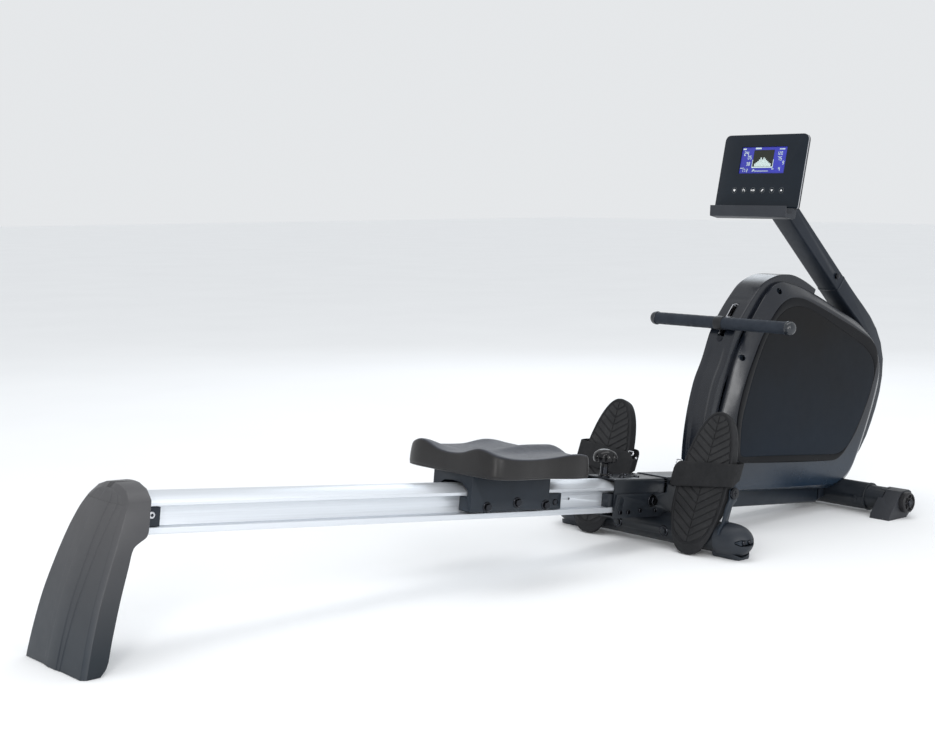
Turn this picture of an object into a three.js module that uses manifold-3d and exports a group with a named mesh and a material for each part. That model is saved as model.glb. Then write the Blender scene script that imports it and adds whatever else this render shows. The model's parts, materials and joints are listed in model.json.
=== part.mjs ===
// Folding rowing machine: sliding seat on an aluminium rail, covered flywheel, console on a bent mast.
// Millimetres. X runs forward from the seat to the flywheel, Y to the left, Z up, floor at z = 0.
// Until the last lines the main stabiliser bar stands at x = 0; the finished part is centred in x.
import * as THREE from 'three';
import { mergeVertices, toCreasedNormals } from 'three/addons/utils/BufferGeometryUtils.js';
import Module from 'manifold-3d';

const wasm = await Module();
wasm.setup();

// ---------- driving dimensions ----------
const GAP = 0.3; // clearance between neighbouring pieces
const BORE_PLAY = 0.35; // radial play of a shaft in its bore
const DEG = Math.PI / 180;

// rail and its folding joint
const FOLD_PIVOT = [-54.5, 0, 108.6];
const RAIL_INCLINE = 5.85 * DEG;
const PIVOT_BOLT_R = 6;
const RAIL_HALF_WIDTH = 45;
const RAIL_BOTTOM = -25;
const RAIL_FRONT = -27;
const RAIL_REAR = -1368;
const RAIL_WALL = 3;
const GROOVE_BOTTOM = -13;
const GROOVE_TOP = 25;
const GROOVE_WEB = 22;
const CROWN_EDGE = 33;
const CROWN_TOP = 47;
const WEB_HOLE = [-243, 7];

// box that holds the rail's front end
const CHANNEL_REAR = -124;
const CHANNEL_FRONT = 44;
const CHANNEL_TOP = 50.6;
const CHANNEL_SHEET = 2.6;
const CHANNEL_BOTTOM = -19;

// fixed bracket round that box
const BRACKET_SHEET = 4;
const BRACKET_INNER = 48.3;
const BRACKET_FRONT = 198;
const HOOD_REAR = 53;
const HOOD_TOP = 53;
const BRACKET_FLOOR = -37;
const BRACKET_LOW_EDGE = 17.5;

// pull knob that locks the fold
const KNOB_X = -112;
const KNOB_STEM_R = 10;
const KNOB_HEAD_R = 28;
const LOCK_PIN_R = 5;

// rear leg: height, rear edge, front edge and half width of each level
const LEG_LEVELS = [
  [1, -1527.5, -1500, 107], [14, -1524.5, -1488, 106.4], [59, -1513, -1474.5, 104], [118, -1494.7, -1456, 98.7],
  [176, -1471.5, -1434.4, 94.2], [200, -1461.4, -1424, 90.6], [213, -1455, -1414, 87.2],
  [222, -1451, -1397, 85], [231, -1446.5, -1389.5, 83], [240, -1442.3, -1387.5, 81.1], [260, -1433.2, -1383, 79.3],
  [275, -1424.5, -1377, 73.9], [285, -1418, -1372.7, 69.1], [295, -1411, -1369, 57.7],
  [302.5, -1410.9, -1368.8, 47.6], [307.5, -1410.8, -1368.7, 38], [310.3, -1410.7, -1368.6, 22],
  [311.3, -1410.7, -1368.6, 7],
];
const LEG_SOCKET_FROM = 216;
const LEG_CHAMFER = 8.6;
const LEG_RIDGE = 3.5;
const LEG_RIDGE_INNER = 26;
const LEG_RIDGE_OUTER = 42;
const LEG_WALL = 5;

// seat
const SEAT_CARRIAGE_FRONT = -345;
const SEAT_CARRIAGE_REAR = -571;
const CARRIAGE_HALF = 62;
const CARRIAGE_SHEET = 3;
const CARRIAGE_TOP = 69;
const CARRIAGE_BOTTOM = -8;
const ROLLER_R = 15;
const ROLLER_BOLTS = [[-526, 2.3], [-440, 9.7], [-355, 2.3]];
const PAD_BOTTOM = CARRIAGE_TOP + GAP;

// stabilisers
const BAR_R = 35;
const BAR_Z = 41;
const BAR_WALL = 2.5;
const CAP_INNER = 217;
const CAP_OUTER = 300;
const FRONT_BAR = [670, 40];
const FRONT_SLEEVE_R = 34.5;
const FRONT_TUBE_R = 30;

// beam and mast
const BEAM_INCLINE = 5.37 * DEG;
const BEAM_WIDTH = 60;
const BEAM_HEIGHT = 54.5;
const BEAM_BASE_Z = 72;
const BEAM_REAR = 17;
const BEAM_FRONT = 608.8;
const MAST_WIDTH = 63;
const MAST_DEPTH = 47;
const UPPER_MAST_DEPTH = 45;
const MAST_ROUND = 7;
const TUBE_WALL = 2.7;
const MAST_JOINT = [690, 577.4];
const MAST_ANGLE = 42.45 * DEG;
const MAST_FRONT_FACE = [
  [613, 20], [636, 21], [667, 35], [694, 50], [742, 89], [781, 120], [815, 156], [871, 259],
  [888, 322], [891, 358], [885, 395], [866, 437], [835, 479],
];

// pedals
const PEDAL_LEAN = 21.9 * DEG;
const PEDAL_FOOT_X = -65.3;
const PEDAL_Y = 156.5;
const PEDAL_CENTRE_S = 182;
const PEDAL_HALF_LENGTH = 158.4;
const PEDAL_HALF_WIDTH = 71.6;
const PEDAL_TAPER = 9.8;
const AXLE = [12, 144];
const AXLE_R = 6;
const STRAP_INNER = 64;
const STRAP_OUTER = 247;

// housing
const BAND_HALF = 38;
const SHELL_INNER = 38.3;
const SHELL_FACE = 68;
const COVER_WALL = 3;
const PANEL_OUTER = 70.5;

// drive inside the housing
const FLYWHEEL = [560, 300];
const FLYWHEEL_R = 145;
const DRUM = [420, 470];
const DRUM_R = 30;
const STRAP_Z = 500;
const STRAP_WIDTH = 15;
const STRAP_THICK = 1.6;

// handle
const HANDLE_X = 243;
const HANDLE_HALF = 218.5;
const GRIP_R = 15;

// console
const CONSOLE_FOOT = [366, 777];
const CONSOLE_LEAN = 13.2 * DEG;
const CONSOLE_HALF = 127;
const CONSOLE_HEIGHT = 183.9;
const CONSOLE_DEPTH = 15.5;
const FACE_SHEET = 3;
const SCREEN = [69.5, 86, 153];
const BUTTON_ROW_Z = 43.4;
const BUTTON_PITCH = 28.8;
const BUTTON_R = 8;
const TRAY_HALF = 117;

// ---------- solids ----------
function solid(geometry) {
  const bare = geometry.clone();
  bare.deleteAttribute('normal');
  bare.deleteAttribute('uv');
  const merged = mergeVertices(bare, 1e-4);
  const place = merged.attributes.position;
  const faces = Uint32Array.from(merged.index.array);
  const a = new THREE.Vector3();
  const b = new THREE.Vector3();
  const c = new THREE.Vector3();
  let volume = 0;
  for (let i = 0; i < faces.length; i += 3) {
    a.fromBufferAttribute(place, faces[i]);
    b.fromBufferAttribute(place, faces[i + 1]);
    c.fromBufferAttribute(place, faces[i + 2]);
    volume += a.dot(b.cross(c));
  }
  if (volume < 0) {
    for (let i = 0; i < faces.length; i += 3) {
      const first = faces[i];
      faces[i] = faces[i + 2];
      faces[i + 2] = first;
    }
  }
  const vertProperties = new Float32Array(place.array);
  return new wasm.Manifold(new wasm.Mesh({ numProp: 3, vertProperties, triVerts: faces }));
}

function geometryOf(body) {
  const mesh = body.getMesh();
  const geometry = new THREE.BufferGeometry();
  const values = new Float32Array(mesh.vertProperties);
  geometry.setAttribute('position', new THREE.BufferAttribute(values, 3));
  geometry.setIndex(new THREE.BufferAttribute(new Uint32Array(mesh.triVerts), 1));
  return toCreasedNormals(geometry, 0.6);
}

function part(name, body, colour, metalness, roughness, parent) {
  const material = new THREE.MeshStandardMaterial({ color: colour, metalness, roughness });
  const mesh = new THREE.Mesh(geometryOf(body), material);
  mesh.name = name;
  parent.add(mesh);
  return mesh;
}

function joined(...bodies) {
  return bodies.reduce((sum, body) => sum.add(body));
}

function box(x0, x1, y0, y1, z0, z1) {
  const geometry = new THREE.BoxGeometry(x1 - x0, y1 - y0, z1 - z0);
  geometry.translate((x0 + x1) / 2, (y0 + y1) / 2, (z0 + z1) / 2);
  return solid(geometry);
}

// cylinder along Y through (x, z)
function rodY(radius, y0, y1, x, z, segments = 20) {
  const geometry = new THREE.CylinderGeometry(radius, radius, y1 - y0, segments);
  geometry.rotateY(Math.PI / segments);
  geometry.translate(x, (y0 + y1) / 2, z);
  return solid(geometry);
}

// cylinder along Z through (x, y)
function rodZ(radius, z0, z1, x, y, segments = 20) {
  const geometry = new THREE.CylinderGeometry(radius, radius, z1 - z0, segments);
  geometry.rotateX(Math.PI / 2);
  geometry.translate(x, y, (z0 + z1) / 2);
  return solid(geometry);
}

// cylinder along X through (y, z)
function rodX(radius, x0, x1, y, z, segments = 20) {
  const geometry = new THREE.CylinderGeometry(radius, radius, x1 - x0, segments);
  geometry.rotateZ(Math.PI / 2);
  geometry.translate((x0 + x1) / 2, y, z);
  return solid(geometry);
}

// profile of [radius, y] pairs turned about Y, then placed at (x, z)
function turnY(profile, x, z, segments = 32) {
  const geometry = new THREE.LatheGeometry(profile.map(([r, y]) => new THREE.Vector2(r, y)), segments);
  geometry.translate(x, 0, z);
  return solid(geometry);
}

function turnZ(profile, x, y, segments = 32) {
  const geometry = new THREE.LatheGeometry(profile.map(([r, z]) => new THREE.Vector2(r, z)), segments);
  geometry.rotateX(Math.PI / 2);
  geometry.translate(x, y, 0);
  return solid(geometry);
}

// the outline without repeated points and points on a straight run
function bareOutline(points) {
  return points.filter(([x, y], i) => {
    const [px, py] = points[(i + points.length - 1) % points.length];
    const [nx, ny] = points[(i + 1) % points.length];
    const turn = (x - px) * (ny - y) - (y - py) * (nx - x);
    const size = Math.hypot(x - px, y - py) * Math.hypot(nx - x, ny - y);
    return size > 1e-6 && Math.abs(turn) > 1e-6 * size;
  });
}

function shapeOf(points) {
  return new THREE.Shape(bareOutline(points).map(([x, y]) => new THREE.Vector2(x, y)));
}

function extruded(points, depth) {
  return new THREE.ExtrudeGeometry(shapeOf(points), { depth, bevelEnabled: false, steps: 1 });
}

// outline of [x, z] pairs carried along Y
function slabY(points, y0, y1, holes = []) {
  const geometry = extruded(points, y1 - y0);
  geometry.rotateX(Math.PI / 2);
  geometry.translate(0, y1, 0);
  return holes.reduce((body, hole) => body.subtract(slabY(hole, y0 - 1, y1 + 1)), solid(geometry));
}

// outline of [y, z] pairs carried along X
function slabX(points, x0, x1, holes = []) {
  const geometry = extruded(points, x1 - x0);
  geometry.rotateX(Math.PI / 2);
  geometry.rotateZ(Math.PI / 2);
  geometry.translate(x0, 0, 0);
  return holes.reduce((body, hole) => body.subtract(slabX(hole, x0 - 1, x1 + 1)), solid(geometry));
}

// outline of [x, y] pairs carried along Z
function slabZ(points, z0, z1, holes = []) {
  const geometry = extruded(points, z1 - z0);
  geometry.translate(0, 0, z0);
  return holes.reduce((body, hole) => body.subtract(slabZ(hole, z0 - 1, z1 + 1)), solid(geometry));
}

// closed skin over matched rings of Vector3, with flat fans at both ends
function loft(rings) {
  const count = rings[0].length;
  const places = [];
  const faces = [];
  for (const ring of rings) {
    for (const point of ring) {
      places.push(point.x, point.y, point.z);
    }
  }
  for (let row = 0; row + 1 < rings.length; row += 1) {
    for (let i = 0; i < count; i += 1) {
      const next = (i + 1) % count;
      const a = row * count + i;
      const b = row * count + next;
      const c = a + count;
      const d = b + count;
      faces.push(a, b, d, a, d, c);
    }
  }
  for (const [ring, start, flip] of [[rings[0], 0, true], [rings.at(-1), (rings.length - 1) * count, false]]) {
    const centre = new THREE.Vector3();
    for (const point of ring) {
      centre.addScaledVector(point, 1 / count);
    }
    const middle = places.length / 3;
    places.push(centre.x, centre.y, centre.z);
    for (let i = 0; i < count; i += 1) {
      const next = (i + 1) % count;
      if (flip) {
        faces.push(start + next, start + i, middle);
      } else {
        faces.push(start + i, start + next, middle);
      }
    }
  }
  const geometry = new THREE.BufferGeometry();
  geometry.setAttribute('position', new THREE.BufferAttribute(new Float32Array(places), 3));
  geometry.setIndex(faces);
  return solid(geometry);
}

// rounded rectangle as [a, b] pairs, counter-clockwise, centred
function roundRect(width, height, radius, steps = 3) {
  const points = [];
  const corners = [[1, 1, 0], [-1, 1, 90], [-1, -1, 180], [1, -1, 270]];
  for (const [sideA, sideB, start] of corners) {
    for (let i = 0; i <= steps; i += 1) {
      const angle = (start + (90 * i) / steps) * DEG;
      points.push([
        sideA * (width / 2 - radius) + radius * Math.cos(angle),
        sideB * (height / 2 - radius) + radius * Math.sin(angle),
      ]);
    }
  }
  return points;
}

// the same outline moved sideways: positive distance to the right of travel
function offsetPath(points, distance) {
  return points.map(([x, z], i) => {
    const before = points[Math.max(i - 1, 0)];
    const after = points[Math.min(i + 1, points.length - 1)];
    const dx = after[0] - before[0];
    const dz = after[1] - before[1];
    const length = Math.hypot(dx, dz);
    return [x + (distance * dz) / length, z - (distance * dx) / length];
  });
}

// closed smooth outline read at even angles round a centre, as [x, z] pairs
function radialRing(points, centre, count) {
  const curve = new THREE.CatmullRomCurve3(points.map(([x, z]) => new THREE.Vector3(x, 0, z)), true, 'centripetal');
  const dense = curve.getPoints(points.length * 24).map((p) => {
    const dx = p.x - centre[0];
    const dz = p.z - centre[1];
    return { angle: Math.atan2(dz, dx), reach: Math.hypot(dx, dz) };
  });
  dense.sort((p, q) => p.angle - q.angle);
  const ring = [];
  for (let i = 0; i < count; i += 1) {
    const angle = -Math.PI + (2 * Math.PI * (i + 0.5)) / count;
    let hi = dense.findIndex((p) => p.angle >= angle);
    if (hi < 0) {
      hi = 0;
    }
    const q = dense[hi];
    const p = dense[(hi + dense.length - 1) % dense.length];
    let span = q.angle - p.angle;
    let run = angle - p.angle;
    if (span < 0) {
      span += 2 * Math.PI;
    }
    if (run < 0) {
      run += 2 * Math.PI;
    }
    const reach = p.reach + (q.reach - p.reach) * (span > 1e-9 ? run / span : 0);
    ring.push([centre[0] + reach * Math.cos(angle), centre[1] + reach * Math.sin(angle)]);
  }
  return ring;
}

function hexBoltY(radius, headR, y0, y1, x, z) {
  const head = 5;
  return joined(
    rodY(radius, y0, y1, x, z, 16),
    rodY(headR, y1, y1 + head, x, z, 6),
    rodY(headR, y0 - head, y0, x, z, 6),
  );
}

// ---------- groups ----------
const rower = new THREE.Group();
rower.name = 'rowing_machine';
const machine = new THREE.Group();
machine.name = 'machine';
rower.add(machine);

const railGroup = new THREE.Group();
railGroup.name = 'rail_frame';
railGroup.position.set(...FOLD_PIVOT);
railGroup.rotation.y = RAIL_INCLINE;
machine.add(railGroup);

const consoleGroup = new THREE.Group();
consoleGroup.name = 'console_frame';
consoleGroup.position.set(CONSOLE_FOOT[0], 0, CONSOLE_FOOT[1]);
consoleGroup.rotation.y = CONSOLE_LEAN;
machine.add(consoleGroup);

const DARK = 0x23262b;
const BLACK = 0x151618;
const PLASTIC = 0x2b2e33;
const ALUMINIUM = 0xd9dcdf;
const STEEL = 0x8d9096;

// a machine-frame solid carried into the rail's tilted frame
function intoRail(body) {
  const moved = body.translate([-FOLD_PIVOT[0], -FOLD_PIVOT[1], -FOLD_PIVOT[2]]);
  return moved.rotate([0, -RAIL_INCLINE / DEG, 0]);
}

function outOfRail(body) {
  return body.rotate([0, RAIL_INCLINE / DEG, 0]).translate(FOLD_PIVOT);
}

// ---------- rail ----------
{
  const crownSteps = 6;
  const rightSide = [
    [RAIL_HALF_WIDTH - 1, RAIL_BOTTOM],
    [RAIL_HALF_WIDTH, RAIL_BOTTOM + 1],
    [RAIL_HALF_WIDTH, GROOVE_BOTTOM - 1],
    [RAIL_HALF_WIDTH - 1, GROOVE_BOTTOM],
    [GROOVE_WEB, GROOVE_BOTTOM],
    [GROOVE_WEB, GROOVE_TOP],
    [RAIL_HALF_WIDTH - 1, GROOVE_TOP],
    [RAIL_HALF_WIDTH, GROOVE_TOP + 1],
    [RAIL_HALF_WIDTH, CROWN_EDGE - 1],
    [RAIL_HALF_WIDTH - 1.5, CROWN_EDGE],
  ];
  const crownHalf = RAIL_HALF_WIDTH - 1.5;
  const rise = CROWN_TOP - CROWN_EDGE;
  const crownR = (crownHalf * crownHalf + rise * rise) / (2 * rise);
  const swing = Math.asin(crownHalf / crownR);
  const crown = [];
  for (let i = 1; i < crownSteps; i += 1) {
    const angle = swing * (1 - (2 * i) / crownSteps);
    crown.push([crownR * Math.sin(angle), CROWN_TOP - crownR + crownR * Math.cos(angle)]);
  }
  const leftSide = rightSide.map(([y, z]) => [-y, z]).reverse();
  const outline = [...rightSide, ...crown, ...leftSide];
  const core = [
    [-GROOVE_WEB + RAIL_WALL, GROOVE_BOTTOM], [GROOVE_WEB - RAIL_WALL, GROOVE_BOTTOM],
    [GROOVE_WEB - RAIL_WALL, GROOVE_TOP + RAIL_WALL], [-GROOVE_WEB + RAIL_WALL, GROOVE_TOP + RAIL_WALL],
  ];
  const lowerCell = [
    [-RAIL_HALF_WIDTH + RAIL_WALL, RAIL_BOTTOM + RAIL_WALL],
    [RAIL_HALF_WIDTH - RAIL_WALL, RAIL_BOTTOM + RAIL_WALL],
    [RAIL_HALF_WIDTH - RAIL_WALL, GROOVE_BOTTOM - RAIL_WALL],
    [-RAIL_HALF_WIDTH + RAIL_WALL, GROOVE_BOTTOM - RAIL_WALL],
  ];
  let rail = slabX(outline, RAIL_REAR, RAIL_FRONT, [core, lowerCell]);
  rail = rail.subtract(rodY(3, -GROOVE_WEB - 1, GROOVE_WEB + 1, WEB_HOLE[0], WEB_HOLE[1], 10));
  rail = rail.subtract(rodZ(LOCK_PIN_R + BORE_PLAY, RAIL_BOTTOM - 1, CROWN_TOP + 1, KNOB_X, 0, 12));
  for (const [x, z] of [[-305, 4], [-1312, 9]]) {
    rail = rail.subtract(rodY(3 + BORE_PLAY, -GROOVE_WEB - 1, GROOVE_WEB + 1, x, z, 10));
  }
  part('rail', rail, ALUMINIUM, 0.9, 0.35, railGroup);
}

// blocks in the grooves that stop the carriage, held by a bolt through both webs
for (const [name, x0, x1, boltX, boltZ] of [
  ['front_stop', -339, -287, -305, 4],
  ['rear_stop', -1330, -1293.4, -1312, 9],
]) {
  const outer = RAIL_HALF_WIDTH - 4;
  let stop = rodY(3, -outer - 1, outer + 1, boltX, boltZ, 10);
  for (const side of [-1, 1]) {
    const near = side > 0 ? GROOVE_WEB + GAP : -outer;
    const far = side > 0 ? outer : -GROOVE_WEB - GAP;
    stop = stop.add(box(x0, x1, near, far, GROOVE_BOTTOM + 1, GROOVE_TOP - 2));
    const headIn = side > 0 ? outer : -outer - 3;
    stop = stop.add(rodY(6, headIn, headIn + 3, boltX, boltZ, 6));
  }
  part(name, stop, BLACK, 0.1, 0.7, railGroup);
}

// steel box over the rail's front end, with plates that reach back in the grooves
{
  const half = RAIL_HALF_WIDTH + GAP;
  const outerHalf = half + CHANNEL_SHEET;
  const round = 7;
  function arch(halfWidth, top, bottom, radius) {
    const points = [[-halfWidth, bottom], [halfWidth, bottom]];
    for (let i = 0; i <= 4; i += 1) {
      const angle = (i * 90 * DEG) / 4;
      points.push([
        halfWidth - radius + radius * Math.cos(angle),
        top - radius + radius * Math.sin(angle),
      ]);
    }
    for (let i = 0; i <= 4; i += 1) {
      const angle = (90 + (i * 90) / 4) * DEG;
      points.push([
        -halfWidth + radius + radius * Math.cos(angle),
        top - radius + radius * Math.sin(angle),
      ]);
    }
    return points;
  }
  const outer = slabX(arch(outerHalf, CHANNEL_TOP, CHANNEL_BOTTOM, round), CHANNEL_REAR, CHANNEL_FRONT);
  const inner = slabX(
    arch(half, CHANNEL_TOP - CHANNEL_SHEET, CHANNEL_BOTTOM - 1, round - CHANNEL_SHEET),
    CHANNEL_REAR - 1, CHANNEL_FRONT + 1,
  );
  let channel = outer.subtract(inner);
  // fold-over end wall in front of the rail
  const wall = slabX(arch(half + 1, CHANNEL_TOP - 1, CHANNEL_BOTTOM, round), RAIL_FRONT + 6, RAIL_FRONT + 9);
  channel = channel.add(wall);
  for (const side of [-1, 1]) {
    const near = side > 0 ? GROOVE_WEB + GAP : -half - 0.5;
    const far = side > 0 ? half + 0.5 : -GROOVE_WEB - GAP;
    const filler = box(CHANNEL_REAR + 3, RAIL_FRONT + 7, near, far, GROOVE_BOTTOM + 1, GROOVE_TOP - 8);
    const tongueNear = side > 0 ? GROOVE_WEB + GAP : -RAIL_HALF_WIDTH + 3;
    const tongueFar = side > 0 ? RAIL_HALF_WIDTH - 3 : -GROOVE_WEB - GAP;
    const tongue = box(-137, CHANNEL_REAR + 8, tongueNear, tongueFar, GROOVE_BOTTOM + 1, GROOVE_TOP - 8);
    channel = channel.add(filler).add(tongue);
  }
  channel = channel.subtract(rodY(PIVOT_BOLT_R + BORE_PLAY, -60, 60, 0, 0, 20));
  channel = channel.subtract(rodZ(LOCK_PIN_R + BORE_PLAY, CROWN_TOP - 1, CHANNEL_TOP + 1, KNOB_X, 0, 12));
  for (const x of [-72, -22]) {
    channel = channel.add(rodZ(5, CHANNEL_TOP - 1, CHANNEL_TOP + 2.2, x, -18, 12));
    channel = channel.add(rodZ(5, CHANNEL_TOP - 1, CHANNEL_TOP + 2.2, x, 18, 12));
  }
  part('rail_channel', channel, DARK, 0.4, 0.55, railGroup);
}

// pull knob: fluted mushroom head, stem, and the pin through channel and rail
{
  const base = CHANNEL_TOP + GAP;
  const profile = [
    [0, base], [KNOB_STEM_R + 1, base], [KNOB_STEM_R + 1, base + 4], [KNOB_STEM_R - 1, base + 8],
    [KNOB_STEM_R, base + 32], [KNOB_HEAD_R - 4, 86], [KNOB_HEAD_R, 92], [KNOB_HEAD_R - 1, 100],
    [KNOB_HEAD_R * 0.82, 108], [KNOB_HEAD_R * 0.5, 113.5], [0, 115.5],
  ];
  let knob = turnZ(profile, KNOB_X, 0, 20);
  const flutes = 8;
  for (let i = 0; i < flutes; i += 1) {
    const angle = (2 * Math.PI * (i + 0.5)) / flutes;
    const reach = KNOB_HEAD_R + 3.5;
    knob = knob.subtract(rodZ(6, 80, 99, KNOB_X + reach * Math.cos(angle), reach * Math.sin(angle), 10));
  }
  const pin = rodZ(LOCK_PIN_R, BRACKET_FLOOR + BRACKET_SHEET + GAP, base + 1, KNOB_X, 0, 12);
  part('lock_knob', knob.add(pin), BLACK, 0.2, 0.3, railGroup);
}

// rear leg: tapering foot with a proud bevelled back; its head takes the rail's end
{
  const last = LEG_LEVELS.length - 1;
  const rings = LEG_LEVELS.map(([z, rear, front, half], i) => {
    const below = LEG_LEVELS[Math.max(i - 1, 0)];
    const above = LEG_LEVELS[Math.min(i + 1, last)];
    const rise = above[0] - below[0];
    const narrowing = below[3] - above[3];
    const slope = Math.hypot(rise, narrowing);
    const faceHalf = Math.max(half - (LEG_CHAMFER * rise) / slope, 3);
    const faceZ = i === 0 ? z : z - (LEG_CHAMFER * narrowing) / slope;
    // the head runs along the rail, so its front sits lower
    const lean = Math.min(Math.max((z - LEG_SOCKET_FROM) / 60, 0), 1);
    const frontZ = z - 0.4 * lean * (front - rear) * Math.tan(RAIL_INCLINE);
    const ridge = Math.min(LEG_RIDGE_INNER, faceHalf * 0.6);
    const ridgeFoot = Math.min(LEG_RIDGE_OUTER, faceHalf * 0.93);
    const outline = [
      [rear - LEG_CHAMFER - LEG_RIDGE, -ridge, faceZ], [rear - LEG_CHAMFER, -ridgeFoot, faceZ],
      [rear - LEG_CHAMFER, -faceHalf, faceZ], [rear, -half, z],
      [front - 2, -half, frontZ], [front, -half + 2, frontZ],
    ];
    const mirrored = outline.map(([x, y, height]) => [x, -y, height]).reverse();
    return [...outline, ...mirrored].map(([x, y, height]) => new THREE.Vector3(x, y, height));
  });
  let leg = loft(rings);
  const [, footRear, footFront, footHalf] = LEG_LEVELS[0];
  for (const side of [-1, 1]) {
    const outer = side * (footHalf - 4);
    const inner = side * (footHalf - 30);
    leg = leg.add(box(footRear - 4, footFront - 4, Math.min(outer, inner), Math.max(outer, inner), 0, 5));
  }
  // hollow from below, open only between the foot pads
  const floorTop = 8;
  const hollow = loft(LEG_LEVELS.slice(1, 6).map(([z, rear, front, half], i) => {
    const low = i === 0 ? floorTop : z;
    const outline = [
      [rear + 1, -half + LEG_WALL + 3], [front - LEG_WALL, -half + LEG_WALL + 3],
      [front - LEG_WALL, half - LEG_WALL - 3], [rear + 1, half - LEG_WALL - 3],
    ];
    return outline.map(([x, y]) => new THREE.Vector3(x, y, low));
  }));
  const openHalf = footHalf / 2;
  leg = leg.subtract(hollow);
  leg = leg.subtract(box(footRear + 4, footFront - LEG_WALL - 2, -openHalf, openHalf, -1, floorTop + 1));
  const socket = box(RAIL_REAR - GAP, RAIL_REAR + 100, -RAIL_HALF_WIDTH - GAP, RAIL_HALF_WIDTH + GAP,
    RAIL_BOTTOM - GAP, CROWN_TOP + GAP);
  part('rear_leg', intoRail(leg).subtract(socket), PLASTIC, 0.1, 0.6, railGroup);
}

// ---------- seat ----------
{
  const inner = CARRIAGE_HALF - CARRIAGE_SHEET;
  let carriage = box(SEAT_CARRIAGE_REAR, SEAT_CARRIAGE_FRONT, -CARRIAGE_HALF, CARRIAGE_HALF,
    CARRIAGE_BOTTOM, CARRIAGE_TOP);
  carriage = carriage.subtract(box(SEAT_CARRIAGE_REAR + CARRIAGE_SHEET, SEAT_CARRIAGE_FRONT + 1,
    -inner, inner, CARRIAGE_BOTTOM - 1, CARRIAGE_TOP - CARRIAGE_SHEET));
  // end wall reaches into the grooves and arches over the crown
  const clear = 2.5;
  const opening = [
    [-GROOVE_WEB - clear, CARRIAGE_BOTTOM - 2], [GROOVE_WEB + clear, CARRIAGE_BOTTOM - 2],
    [GROOVE_WEB + clear, GROOVE_TOP - 2], [RAIL_HALF_WIDTH + clear, GROOVE_TOP - 2],
    [RAIL_HALF_WIDTH + clear, CROWN_EDGE + clear], [28, CROWN_TOP + clear], [0, CROWN_TOP + 5],
    [-28, CROWN_TOP + clear], [-RAIL_HALF_WIDTH - clear, CROWN_EDGE + clear],
    [-RAIL_HALF_WIDTH - clear, GROOVE_TOP - 2], [-GROOVE_WEB - clear, GROOVE_TOP - 2],
  ];
  carriage = carriage.subtract(slabX(opening, SEAT_CARRIAGE_REAR - 1, SEAT_CARRIAGE_REAR + CARRIAGE_SHEET + 1));
  for (const [x, z] of ROLLER_BOLTS) {
    for (const side of [-1, 1]) {
      const shank = side > 0 ? [26, CARRIAGE_HALF + 4] : [-CARRIAGE_HALF - 4, -26];
      carriage = carriage.add(rodY(4, shank[0], shank[1], x, z, 12));
      const head = side > 0 ? [CARRIAGE_HALF - 0.5, CARRIAGE_HALF + 6] : [-CARRIAGE_HALF - 6, -CARRIAGE_HALF + 0.5];
      carriage = carriage.add(rodY(7, head[0], head[1], x, z, 6));
      const collar = side > 0 ? [44, inner + 0.5] : [-inner - 0.5, -44];
      carriage = carriage.add(rodY(8, collar[0], collar[1], x, z, 12));
    }
  }
  part('seat_carriage', carriage, DARK, 0.4, 0.5, railGroup);

  ROLLER_BOLTS.forEach(([x, z], i) => {
    const place = ['rear', 'middle', 'front'][i];
    const outerZ = z;
    for (const [sideName, side] of [['right', -1], ['left', 1]]) {
      const y0 = side > 0 ? 28 : -43.5;
      const y1 = side > 0 ? 43.5 : -28;
      const profile = [
        [4 + BORE_PLAY, y0], [ROLLER_R - 1.2, y0], [ROLLER_R, y0 + 1.2], [ROLLER_R, y1 - 1.2],
        [ROLLER_R - 1.2, y1], [4 + BORE_PLAY, y1], [4 + BORE_PLAY, y0],
      ];
      part(`roller_${place}_${sideName}`, turnY(profile, x, outerZ, 16), 0x3a3c40, 0, 0.5, railGroup);
    }
  });
}

// seat pad: waisted saddle, lobed behind, with a ridge between the thighs that ends in a nose
{
  const outlineHalf = [
    [-591, 0], [-592, 60], [-589, 110], [-577, 138], [-545, 148], [-505, 149], [-465, 144],
    [-430, 141], [-395, 146], [-355, 150], [-320, 140], [-299, 112], [-288, 75], [-277, 45],
    [-262, 22], [-254, 0],
  ];
  const closed = [...outlineHalf, ...outlineHalf.slice(1, -1).reverse().map(([x, y]) => [x, -y])];
  const centre = [-437, 0];
  const ring = radialRing(closed, centre, 44);
  const bell = (value) => Math.exp(-(value ** 2));
  // height of the sitting surface over the rail frame
  function topAt(x, y) {
    const across = Math.abs(y);
    const rearLobes = 14 * bell((x + 585) / 52) * bell((across - 92) / 42);
    const sideLobes = 10 * bell((x + 352) / 58) * Math.min(across / 138, 1) ** 4;
    const ridge = (14 / (1 + Math.exp(-(x + 428) / 18))) * bell(y / 30);
    const bowl = -4 * bell((x + 480) / 70) * bell(across / 90);
    const nose = -22 * Math.max((x + 300) / 50, 0) ** 2;
    return 112 + rearLobes + sideLobes + ridge + bowl + nose;
  }
  function scaled(factor, height) {
    return ring.map(([x, y]) => {
      const px = centre[0] + (x - centre[0]) * factor;
      const py = centre[1] + (y - centre[1]) * factor;
      return new THREE.Vector3(px, py, height(px, py));
    });
  }
  const rings = [
    scaled(0.94, () => PAD_BOTTOM),
    scaled(0.985, () => PAD_BOTTOM + 4),
    scaled(1.0, () => PAD_BOTTOM + 16),
    scaled(0.99, (x, y) => topAt(x, y) - 10),
    scaled(0.965, (x, y) => topAt(x, y) - 3),
    scaled(0.92, (x, y) => topAt(x, y)),
    scaled(0.7, (x, y) => topAt(x, y)),
    scaled(0.4, (x, y) => topAt(x, y)),
    scaled(0.15, (x, y) => topAt(x, y)),
  ];
  part('seat_pad', loft(rings), BLACK, 0, 0.8, railGroup);
}

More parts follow.
